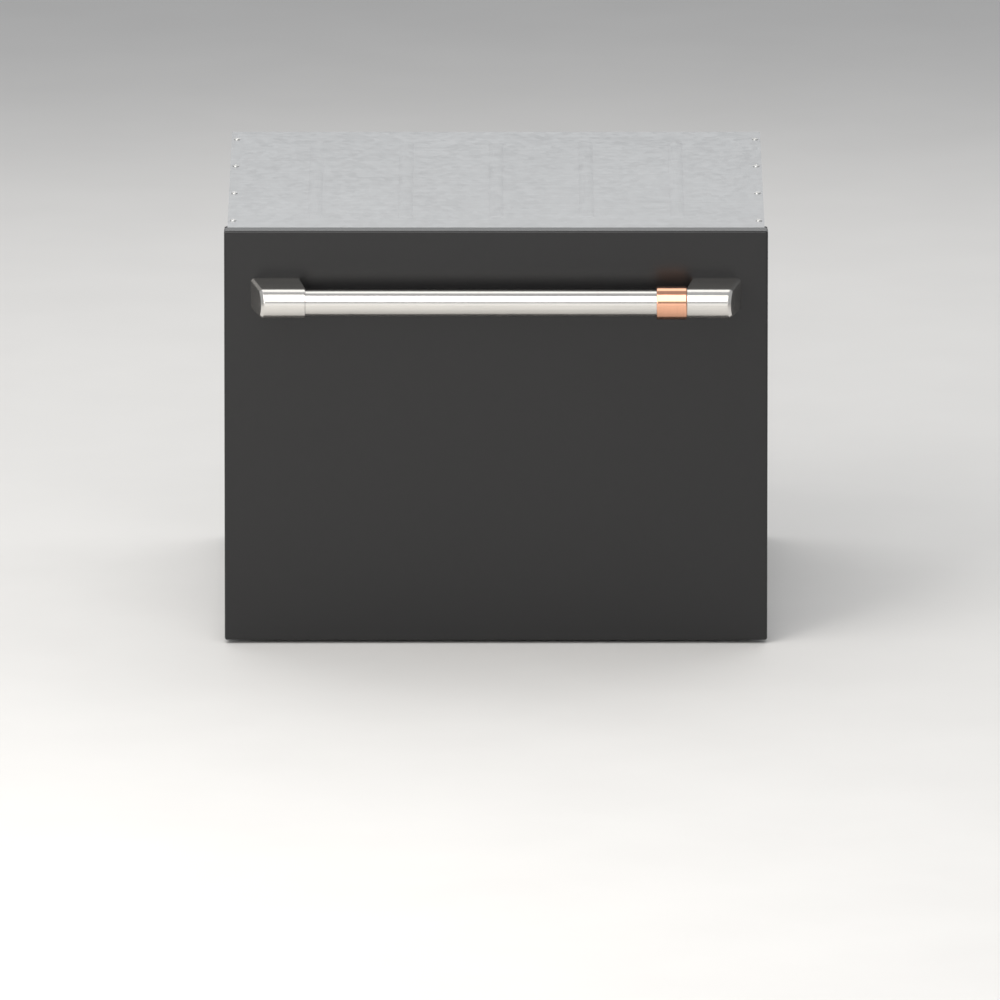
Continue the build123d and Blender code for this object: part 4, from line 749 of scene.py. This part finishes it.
class DISHWASHER_OT_front(bpy.types.Operator):
    """Folds the painted sheet of the front and makes the felt and the ribbed plate behind it"""

    bl_idname = "dishwasher.front"
    bl_label = "Front"

    def folded_sheet(self, look):
        """The painted sheet with its four edges folded back."""
        low, high, middle = node_box("front_skin")
        bm = bmesh.new()
        bmesh.ops.create_cube(bm, size=1.0)
        place = Matrix.Translation(middle) @ Matrix.Diagonal(high - low).to_4x4()
        bmesh.ops.transform(bm, verts=bm.verts, matrix=place)
        back = [face for face in bm.faces if face.calc_center_median().y > high.y - MM]
        bmesh.ops.delete(bm, geom=back, context="FACES_ONLY")
        folds = [edge for edge in bm.edges if len(edge.link_faces) == 2]
        bmesh.ops.bevel(bm, geom=folds, offset=look.fold_radius, segments=6, profile=0.5, affect="EDGES")
        bmesh.ops.recalc_face_normals(bm, faces=bm.faces)
        outside = max(bm.faces, key=lambda face: face.calc_area())
        if outside.normal.y > 0:
            bmesh.ops.reverse_faces(bm, faces=bm.faces)
        bmesh.ops.solidify(bm, geom=bm.faces[:], thickness=look.sheet)
        return bm

    def execute(self, context):
        look = settings().front
        sheet = self.folded_sheet(look)
        finished("painted_front", sheet, "front_paint", smooth=40.0, replaces=("front_skin",))
        low, high, middle = node_box("front_sound_pad")
        depth, corner = high.y - low.y, 8 * MM
        rounding = 0.3 * depth
        pad = rounded_plate((high.x - low.x, high.z - low.z), corner, 0.0, depth, rounding)
        laid(pad, RIGHT, -BACK, (middle.x, high.y, middle.z))
        felt = finished("felt_pad", pad, "felt", smooth=50.0, replaces=("front_sound_pad",))
        softened("front_backing", 0.5 * MM, "inner_plate")
        low, high, _ = node_box("front_backing")
        count, thickness, margin = 7, 2 * MM, 30 * MM
        length = node_box("control_panel")[0].z - low.z - 2 * margin
        rib = laid(drafted_rib(length, thickness, look.rib_height), UP, BACK)
        start = (-(count - 1) / 2 * look.rib_pitch, high.y, low.z + margin + length / 2)
        columns = (count, look.rib_pitch * RIGHT)
        in_rows("inner_plate_ribs", rib, "dark_plastic", start, columns, smooth=30.0)
        return {"FINISHED"}


class DISHWASHER_OT_handle(bpy.types.Operator):
    """Makes the bar, its two ends and the accent ring"""

    bl_idname = "dishwasher.handle"
    bl_label = "Handle"

    def end_loops(self, look, side):
        """Cross-sections of an end from its inner to its outer side."""
        low, high, _ = node_box("right_handle_end")
        axis = node_box("handle_bar")[2]
        radius, reach = axis.y - low.y, high.y - axis.y
        inner_x, outer_x = low.x + look.plug, high.x - look.outer_flare
        steps = 20

        def section(inset):
            size, foot = radius - inset, high.z - axis.z - inset
            lean = acos(size / hypot(foot, reach)) - atan2(reach, foot)
            turns = [(pi / 2 - lean) * i / steps for i in range(-steps, steps + 1)]
            nose = [(axis.y - size * cos(turn), axis.z + size * sin(turn)) for turn in turns]
            return [(high.y, axis.z - foot)] + nose + [(high.y, axis.z + foot)]

        def inner(y):
            return inner_x + look.inner_flare * max(0.0, y - axis.y) / reach

        def outer(y):
            return outer_x + look.outer_flare * (y - axis.y) / reach

        full, small = section(0.0), section(look.end_chamfer)
        return [
            [(side * inner(y), y, z) for y, z in full],
            [(side * (outer(y) - look.end_chamfer), y, z) for y, z in full],
            [(side * outer(y), y, z) for y, z in small],
        ]

    def execute(self, context):
        look = settings().handle
        round_steps, slack, ring_edge, end_edge, sharp_angle = 128, 0.05 * MM, 0.8 * MM, 0.4 * MM, 25.0
        low, high, middle = node_box("handle_bar")
        radius, half = (high.z - low.z) / 2, (high.x - low.x) / 2
        bore = radius - look.bar_wall
        bm = bmesh.new()
        tube = [(-half, bore), (-half, radius), (half, radius), (half, bore), (-half, bore)]
        turned(bm, tube, middle, RIGHT, round_steps)
        finished("handle_tube", bm, "handle_steel", smooth=40.0, replaces=("handle_bar",))
        for name, side in SIDES:
            bm = skinned(self.end_loops(look, side))
            bevel_edges(bm, end_edge, sharp_angle)
            looks = {"smooth": 50.0, "replaces": (name + "_handle_end",)}
            finished(name + "_standoff_end", bm, "handle_steel", **looks)
        low, high, middle = node_box("handle_ring")
        half, ring_radius = (high.x - low.x) / 2, (high.z - low.z) / 2
        bm = bmesh.new()
        profile = rounded_ring(radius + slack, ring_radius, -half, half, ring_edge)
        turned(bm, profile, middle, RIGHT, round_steps)
        finished("accent_ring", bm, "copper", smooth=50.0, replaces=("handle_ring",))
        return {"FINISHED"}


class DISHWASHER_OT_controls(bpy.types.Operator):
    """Makes the control ledge: its buttons with their marks, the display window and the lamps"""

    bl_idname = "dishwasher.controls"
    bl_label = "Controls"

    LINE = 0.55 * MM
    RING = 2.3 * MM
    STROKES = {
        "power_button": [arc(RING, 130, 410), [(0.0, 0.5 * MM), (0.0, 3.0 * MM)]],
        "cycle_button": [arc(RING, 60, 340)],
        "options_button": [[(-2.6 * MM, y), (2.6 * MM, y)] for y in (-1.6 * MM, 0.0, 1.6 * MM)],
        "start_button": [],
    }
    TIPS = {
        "cycle_button": [(3.4 * MM, 0.6 * MM), (1.2 * MM, 0.6 * MM), (RING, 2.0 * MM)],
        "start_button": [(-1.7 * MM, -RING), (2.6 * MM, 0.0), (-1.7 * MM, RING)],
    }

    def mark(self, node, height):
        """The raised mark of a button, about the Z axis."""
        bm = bmesh.new()
        for stroke in self.STROKES[node]:
            ribbon(bm, stroke, self.LINE, 0.0, height)
        if node in self.TIPS:
            prism(bm, self.TIPS[node], 0.0, height)
        return bm

    def execute(self, context):
        look = settings().controls
        white = {"material": finish("mark_print")}
        tops = []
        for node in self.STROKES:
            softened(node, 0.5 * MM, node + "_cap")
            _, high, middle = node_box(node)
            tops.append(Vector((middle.x, middle.y, high.z)))
            mark = moved(self.mark(node, look.mark_height), tops[-1])
            finished(node + "_mark", mark, "button_plastic", BODY_OF[node], smooth=30.0, **white)
        softened("control_panel", 0.6 * MM, "control_ledge")
        _, high, middle = node_box("control_panel")
        corner, sunk, proud, edge = 2 * MM, 0.3 * MM, 0.5 * MM, 0.4 * MM
        window = rounded_plate((look.window_width, look.window_depth), corner, -sunk, proud, edge)
        moved(window, (middle.x, middle.y, high.z))
        smoked = new_material("smoked_window", lens_glass, look.window[:])
        finished("display_window", window, "panel_plastic", smooth=50.0, material=smoked)
        radius, height, margin = 1.2 * MM, 0.5 * MM, 4.5 * MM
        start = (tops[0].x, high.y - margin, high.z)
        step = (tops[-1].x - tops[0].x) / (len(tops) - 1) * RIGHT
        pale = new_material("lamp_window", lens_glass, look.lamp[:])
        lamp = dome(radius, height)
        in_rows("indicator_lamps", lamp, "panel_plastic", start, (len(tops), step), material=pale)
        return {"FINISHED"}


class DISHWASHER_OT_tub(bpy.types.Operator):
    """Rounds the tub and the machinery under it, and ribs the tub's walls"""

    bl_idname = "dishwasher.tub"
    bl_label = "Tub"

    def execute(self, context):
        look = settings().tub
        softened("tub", 0.6 * MM, "wash_tub")
        for node in ("pump_housing", "wash_motor", "drain_pump", "drain_filter", "impeller"):
            softened(node)
        rim, sunk, margin, thickness = 7 * MM, 1 * MM, 20 * MM, 2.2 * MM
        count, pitch = 6, 70 * MM
        _, high, _ = node_box("tub")
        _, runner_high, middle = node_box("inner_runners")
        foot, top = runner_high.z + margin, high.z - margin
        for name, side in SIDES:
            rib = laid(drafted_rib(top - foot, thickness, look.rib_height + sunk), UP, side * RIGHT)
            start = (side * (high.x - rim - sunk), middle.y - (count - 1) / 2 * pitch, (foot + top) / 2)
            in_rows(name + "_tub_ribs", rib, "tub_plastic", start, (count, pitch * BACK), smooth=30.0)
        return {"FINISHED"}


class DISHWASHER_OT_filter(bpy.types.Operator):
    """Pierces the filter plate and gives the spray arm its jets"""

    bl_idname = "dishwasher.filter"
    bl_label = "Filter and spray arm"

    def pierced_tile(self, pitch, hole, half_sheet):
        """A square tile with an eight-sided hole."""
        corners = ((1, 0), (1, 1), (0, 1), (-1, 1), (-1, 0), (-1, -1), (0, -1), (1, -1))
        lower, upper = (
            [[(x * pitch / 2, y * pitch / 2, height) for x, y in corners], circle(hole, height, len(corners))]
            for height in (-half_sheet, half_sheet)
        )
        return skinned(lower + upper[::-1], cap=False)

    def plate(self, look):
        """The pierced sheet with a plain rim outside, round the tower and round the drain filter."""
        low, high, middle = node_box("filter_plate")
        radius, half = (high.x - low.x) / 2, (high.z - low.z) / 2
        drain_low, drain_high, drain = node_box("drain_filter")
        drain.z = middle.z
        flange, tower, rim, half_sheet = 4.7 * MM, 16.2 * MM, 6 * MM, 0.6 * MM
        drain_radius = (drain_high.x - drain_low.x) / 2 - flange
        corner = 0.75 * look.hole_pitch
        values = {
            "Count": 2 * int(radius / look.hole_pitch) + 1,
            "Pitch": look.hole_pitch,
            "Disc": radius - corner,
            "Tower": tower + corner,
            "Filter": drain_radius + corner,
            "Middle": middle,
            "Filter place": drain,
            "Finish": finish("filter_steel"),
        }
        tile = self.pierced_tile(look.hole_pitch, look.hole_radius, half_sheet)
        mesh = grown("pierced_sheet", perforated_tree(), mesh_of("pierced_tile", tile), values)
        bm = bmesh.new()
        bm.from_mesh(mesh)
        bpy.data.meshes.remove(mesh)
        bmesh.ops.remove_doubles(bm, verts=bm.verts, dist=SAME_PLACE)
        width, edge, edge_steps, round_steps = rim + corner, 0.4 * MM, 2, 72
        for inner, place in ((radius - width, middle), (tower, middle), (drain_radius, drain)):
            profile = rounded_ring(inner, inner + width, -half, half, edge, edge_steps)
            turned(bm, profile, place, UP, round_steps)
        return bm

    def execute(self, context):
        plate = self.plate(settings().tub)
        finished("pierced_filter_plate", plate, "filter_steel", smooth=40.0, replaces=("filter_plate",))
        softened("spray_arm", 0.5 * MM, "spray_arm_moulding")
        _, high, middle = node_box("spray_arm")
        hub, count, pitch, first, offset = 5 * MM, 7, 27 * MM, 34.5 * MM, 1.6 * MM
        bore, reach, height, edge, edge_steps, round_steps = 1.7 * MM, 3.4 * MM, 0.9 * MM, 0.5 * MM, 3, 20
        profile = rounded_ring(bore, reach, -ROOT, height, edge, edge_steps)
        for name, side in reversed(SIDES):
            jet = bmesh.new()
            turned(jet, profile, ORIGIN, UP, round_steps)
            start = (side * first, middle.y + side * offset, high.z - hub)
            columns, body = (count, side * pitch * RIGHT), BODY_OF["spray_arm"]
            in_rows(name + "_jet_rims", jet, "arm_plastic", start, columns, body=body)
        return {"FINISHED"}


class DISHWASHER_OT_dispenser(bpy.types.Operator):
    """Rounds the dispenser, ribs its flap and marks the turn of its cap"""

    bl_idname = "dishwasher.dispenser"
    bl_label = "Dispenser"

    def execute(self, context):
        for node in ("dispenser_housing", "detergent_flap", "rinse_aid_cap"):
            softened(node)
        length, thickness, height = 34 * MM, 1.4 * MM, 0.7 * MM
        count, pitch, drop, plate = 4, 3.2 * MM, 16 * MM, 3 * MM
        low, high, middle = node_box("detergent_flap")
        rib = laid(drafted_rib(length, thickness, height), RIGHT, BACK)
        start = (middle.x, low.y + plate, high.z - drop)
        body = BODY_OF["detergent_flap"]
        in_rows("flap_grip", rib, "flap_plastic", start, (count, -pitch * UP), body=body)
        middle = node_box("rinse_aid_cap")[2]
        housing_y = low.y - 0.3 * MM
        inner, outer, line, sunk, proud = 16.5 * MM, 19.5 * MM, 0.8 * MM, 0.1 * MM, 0.3 * MM
        ticks = bmesh.new()
        for turn in range(-60, 61, 20):
            ray = Vector((sin(radians(turn)), cos(radians(turn))))
            ribbon(ticks, [ray * inner, ray * outer], line, -sunk, proud)
        laid(ticks, -RIGHT, BACK, (middle.x, housing_y, middle.z))
        finished("cap_scale", ticks, "grey_plastic", smooth=30.0, material=finish("mark_print"))
        return {"FINISHED"}


class DISHWASHER_OT_rack(bpy.types.Operator):
    """Rounds the rack's mouldings and puts coated welds where its wires cross"""

    bl_idname = "dishwasher.rack"
    bl_label = "Rack"

    def weld(self, radius):
        """A flattened blob of coating round a weld."""
        flatness, sides = 0.75, 8
        tilts = [radians(tilt) for tilt in (-60, -20, 20, 60)]
        return skinned([circle(radius * cos(tilt), flatness * radius * sin(tilt), sides) for tilt in tilts])

    def execute(self, context):
        look = settings().tub
        for node in ("rack_feet_and_clips", "left_cup_shelf", "right_cup_shelf"):
            softened(node, 0.3 * MM)
        softened("cutlery_basket", 0.2 * MM)
        thickest, wire = 5 * MM, 4 * MM
        boxes = solid_boxes("rack")
        columns = [box for box in boxes if box[1].x - box[0].x < thickest]
        rows = [box for box in boxes if box[1].y - box[0].y < thickest]
        xs = sorted((low.x + high.x) / 2 for low, high in columns)
        ys = sorted((low.y + high.y) / 2 for low, high in rows)
        floor = min(low.z for low, high in columns + rows)
        start = (xs[0], ys[0], floor + wire)
        columns = (len(xs), (xs[-1] - xs[0]) / (len(xs) - 1) * RIGHT)
        rows = (len(ys), (ys[-1] - ys[0]) / (len(ys) - 1) * BACK)
        weld, body = self.weld(look.weld_radius), BODY_OF["rack"]
        in_rows("rack_welds", weld, "rack_coating", start, columns, rows, body, smooth=80.0)
        return {"FINISHED"}


class DISHWASHER_OT_lid(bpy.types.Operator):
    """Rounds the lid, its lift motors and its guides"""

    bl_idname = "dishwasher.lid"
    bl_label = "Lid"

    def execute(self, context):
        softened("lid", 0.6 * MM)
        for node in ("lid_seal", "lid_guides", "lid_actuators"):
            softened(node)
        return {"FINISHED"}


class DISHWASHER_OT_runners(bpy.types.Operator):
    """Rounds the runners and the hose arms, and rivets the inner runners to the tub"""

    bl_idname = "dishwasher.runners"
    bl_label = "Runners and hose arms"

    def execute(self, context):
        for node in ("outer_runners", "middle_runners", "inner_runners", "front_brackets"):
            softened(node, 0.3 * MM)
        for node in ("rear_hose_arm", "front_hose_arm", "hose_pivot_bracket"):
            softened(node)
        web_x, radius, height, segments, count, margin = 282.5 * MM, 4 * MM, 1.3 * MM, 20, 6, 30 * MM
        low, high, middle = node_box("inner_runners")
        pitch = (high.y - low.y - 2 * margin) / (count - 1)
        for name, side in SIDES:
            rivet = laid(dome(radius, height, segments), UP, side * RIGHT)
            start = (side * web_x, low.y + margin, middle.z)
            in_rows(name + "_runner_rivets", rivet, "screw_steel", start, (count, pitch * BACK))
        return {"FINISHED"}


class DISHWASHER_OT_chassis(bpy.types.Operator):
    """Presses beads into the case, and adds its screws, spot welds and lipped edge seals"""

    bl_idname = "dishwasher.chassis"
    bl_label = "Chassis"

    def cross_head_screw(self, shank, grip, radius, height, segments=24):
        """A pan-head screw with a cross recess, its head on z = 0."""
        slot, reach = 0.17 * radius, 0.52 * radius

        def cross(share, level):
            points = []
            for x, y, _ in circle(1.0, level, segments):
                c, s = max(abs(x), SAME_PLACE), max(abs(y), SAME_PLACE)
                size = share * max(min(reach / c, slot / s), min(slot / c, reach / s))
                points.append((size * x, size * y, level))
            return points

        side = ((shank, -grip), (shank, 0.0), (radius, 0.0), (radius, 0.3 * height))
        top = ((0.9 * radius, 0.7 * height), (0.68 * radius, height))
        loops = [circle(size, level, segments) for size, level in side + top]
        return skinned(loops + [cross(1.0, height), cross(0.75, 0.25 * height)])

    def screws(self):
        """Cross-head screws where the frame has screws."""
        shank, grip, radius, height = 1.7 * MM, 6 * MM, 3.6 * MM, 1.6 * MM
        places = []
        for low, high in solid_boxes("chassis_screws"):
            size = high - low
            out = UP if size.z > size.y else BACK
            outer = (low + high) / 2 + out * max(size) / 2
            places.append((outer - out * height, out))
        screw = self.cross_head_screw(shank, grip, radius, height)
        looks = {"smooth": 30.0, "replaces": ("chassis_screws",)}
        on_points("case_screws", screw, "screw_steel", "chassis", places, **looks)

    def edge_seals(self):
        """Two rubber strips, each with lips that stand out to the side."""
        low, high, _ = node_box("edge_seals")
        root, web, valley, tip, lips = 296 * MM, 297 * MM, 297.2 * MM, high.x, 3
        pitch = (high.y - low.y) / lips
        outline = [(root, low.y), (web, low.y)]
        for i in range(lips):
            start = low.y + pitch * i
            outline += [(tip, start + 0.1 * pitch), (tip - 0.2 * MM, start + 0.35 * pitch)]
            outline += [(valley, start + 0.6 * pitch), (web, start + pitch)]
        outline += [(root, high.y)]
        bm = bmesh.new()
        for side in (1, -1):
            prism(bm, [(side * x, y) for x, y in outline], low.z, high.z)
        finished("lipped_edge_seals", bm, "seal_rubber", "chassis", smooth=30.0, replaces=("edge_seals",))

    def beads(self, name, length, along, out, start, column):
        """A row of beads pressed out of a sheet of the case."""
        look = settings().chassis
        bead = laid(pressed_bead(length, look.bead_width, look.bead_height), along, out)
        in_rows(name, bead, "galvanised", start, column, body="chassis", smooth=60.0)

    def execute(self, context):
        self.screws()
        self.edge_seals()
        side_length, top_length, back_length = 330 * MM, 430 * MM, 470 * MM
        pitch, top_pitch, first_y, first_x, first_z = 110 * MM, 100 * MM, -130 * MM, -200 * MM, 120 * MM
        weld_radius, weld_height, segments, rings = settings().chassis.weld_radius, 0.35 * MM, 16, 3
        weld_rise, first_weld_y, first_weld_z = 24 * MM, -75 * MM, 138 * MM
        columns, rows = (4, pitch * BACK), (2, weld_rise * UP)
        _, high, middle = node_box("chassis_right_side")
        for name, side in SIDES:
            out, face_x = side * RIGHT, side * high.x
            start = (face_x, first_y, middle.z)
            self.beads(name + "_side_beads", side_length, UP, out, start, columns)
            weld = laid(dome(weld_radius, weld_height, segments, rings), UP, out)
            looks = {"body": "chassis", "smooth": 80.0}
            start = (face_x, first_weld_y, first_weld_z)
            in_rows(name + "_side_spot_welds", weld, "galvanised", start, columns, rows, **looks)
        _, high, middle = node_box("chassis_top")
        start = (first_x, middle.y, high.z)
        self.beads("top_beads", top_length, BACK, UP, start, (5, top_pitch * RIGHT))
        start = (0.0, node_box("chassis_back")[1].y, first_z)
        self.beads("back_beads", back_length, RIGHT, BACK, start, (3, pitch * UP))
        for node in ("fixing_brackets", "hose_grommets", "power_module", "inlet_valve"):
            softened(node, 0.3 * MM)
        return {"FINISHED"}


class DISHWASHER_OT_stage(bpy.types.Operator):
    """Lays the floor and sets the lights and the camera"""

    bl_idname = "dishwasher.stage"
    bl_label = "Stage"

    FLOOR_REACH = 40.0
    SKY = ((0.95, 0.97, 1.0, 1.0), 0.47)
    PICTURE = 1000.0
    PHOTO_SHIFT = (4.0, 64.0)
    SENSOR = 36.0
    # Each soft light: elevation, distance and turn to the right of the front, size, brightness and tint
    SOFTBOXES = {
        "front_softbox": ((50.0, 2.2, -28.0), (3.0, 2.0), 2.4, (1.0, 0.98, 0.95)),
        "low_front_softbox": ((0.0, 3.0, 0.0), (4.0, 0.9), 0.75, (1.0, 0.98, 0.96)),
        "rear_softbox": ((135.0, 2.5, 0.0), (4.0, 2.9), 1.02, (1.0, 0.99, 0.97)),
        "left_softbox": ((15.0, 3.6, -30.0), (1.0, 1.2), 10.0, (1.0, 0.97, 0.93)),
        "right_softbox": ((15.0, 3.6, 32.0), (0.8, 1.0), 3.0, (0.95, 0.97, 1.0)),
    }

    def softbox(self, name, aim, direction, size, brightness, tint):
        """A large soft light that points at the handle."""
        elevation, distance, turn = radians(direction[0]), direction[1], radians(direction[2])
        flat = cos(elevation)
        out = Vector((flat * sin(turn), -flat * cos(turn), sin(elevation)))
        light = bpy.data.lights.new(name, "AREA")
        light.shape = "RECTANGLE"
        light.size, light.size_y = size
        light.energy = brightness * pi * size[0] * size[1]
        light.color = tint
        self.aimed(name, light, aim + out * distance, out).visible_camera = False

    def aimed(self, name, data, place, out):
        """A light or a camera that looks back along a direction."""
        item = bpy.data.objects.new(name, data)
        item.location = place
        item.rotation_mode = "QUATERNION"
        item.rotation_quaternion = (-out).to_track_quat("-Z", "Y")
        bpy.context.scene.collection.objects.link(item)
        return item

    def execute(self, context):
        look, scene = settings().stage, context.scene
        bm = bmesh.new()
        bmesh.ops.create_grid(bm, x_segments=1, y_segments=1, size=self.FLOOR_REACH)
        mesh = plain_mesh("floor", bm)
        paint = {"roughness": 0.7, "contrast": 0.015}
        mesh.materials.append(new_material("floor_paint", painted, look.floor[:], **paint))
        floor = bpy.data.objects.new("floor", mesh)
        scene.collection.objects.link(floor)
        scene.world = bpy.data.worlds.new("studio")
        scene.world.use_nodes = True
        background = scene.world.node_tree.nodes["Background"]
        background.inputs["Color"].default_value, background.inputs["Strength"].default_value = self.SKY
        scene.view_settings.view_transform = "Standard"
        for name, values in self.SOFTBOXES.items():
            self.softbox(name, node_box("handle_bar")[2], *values)
        low, _, middle = node_box("front_skin")
        lens = bpy.data.cameras.new("photo_camera")
        lens.sensor_width = self.SENSOR
        lens.lens = look.scale * look.distance * self.SENSOR / self.PICTURE
        lens.clip_start, lens.clip_end = 0.1, 200.0
        out = Vector((0.0, -cos(look.elevation), sin(look.elevation)))
        across, down = (pixels / look.scale for pixels in self.PHOTO_SHIFT)
        target = Vector((across, low.y, middle.z - down / cos(look.elevation)))
        scene.camera = self.aimed("photo_camera", lens, target + out * look.distance, out)
        return {"FINISHED"}


class DISHWASHER_PT_panel(bpy.types.Panel):
    """Lists the appliance's pieces and their settings"""

    bl_idname = "DISHWASHER_PT_panel"
    bl_label = "Drawer Dishwasher"
    bl_space_type = "VIEW_3D"
    bl_region_type = "UI"
    bl_category = "Dishwasher"

    def draw(self, context):
        for operator in OPERATORS:
            self.layout.operator(operator.bl_idname)
        for group in DishwasherSettings.__annotations__:
            box = self.layout.box()
            look = getattr(context.scene.dishwasher, group)
            for name in look.__annotations__:
                box.prop(look, name)


OPERATORS = (
    DISHWASHER_OT_finishes,
    DISHWASHER_OT_front,
    DISHWASHER_OT_handle,
    DISHWASHER_OT_controls,
    DISHWASHER_OT_tub,
    DISHWASHER_OT_filter,
    DISHWASHER_OT_dispenser,
    DISHWASHER_OT_rack,
    DISHWASHER_OT_lid,
    DISHWASHER_OT_runners,
    DISHWASHER_OT_chassis,
    DISHWASHER_OT_stage,
)
SETTINGS = (FrontSettings, HandleSettings, ControlSettings, TubSettings, ChassisSettings, StageSettings)
CLASSES = (*SETTINGS, DishwasherSettings, *OPERATORS, DISHWASHER_PT_panel)


def register():
    for cls in CLASSES:
        bpy.utils.register_class(cls)
    bpy.types.Scene.dishwasher = bpy.props.PointerProperty(type=DishwasherSettings)


def unregister():
    del bpy.types.Scene.dishwasher
    for cls in reversed(CLASSES):
        bpy.utils.unregister_class(cls)


def main():
    register()
    for operator in OPERATORS:
        group, name = operator.bl_idname.split(".")
        getattr(getattr(bpy.ops, group), name)()


if __name__ == "__main__":
    main()
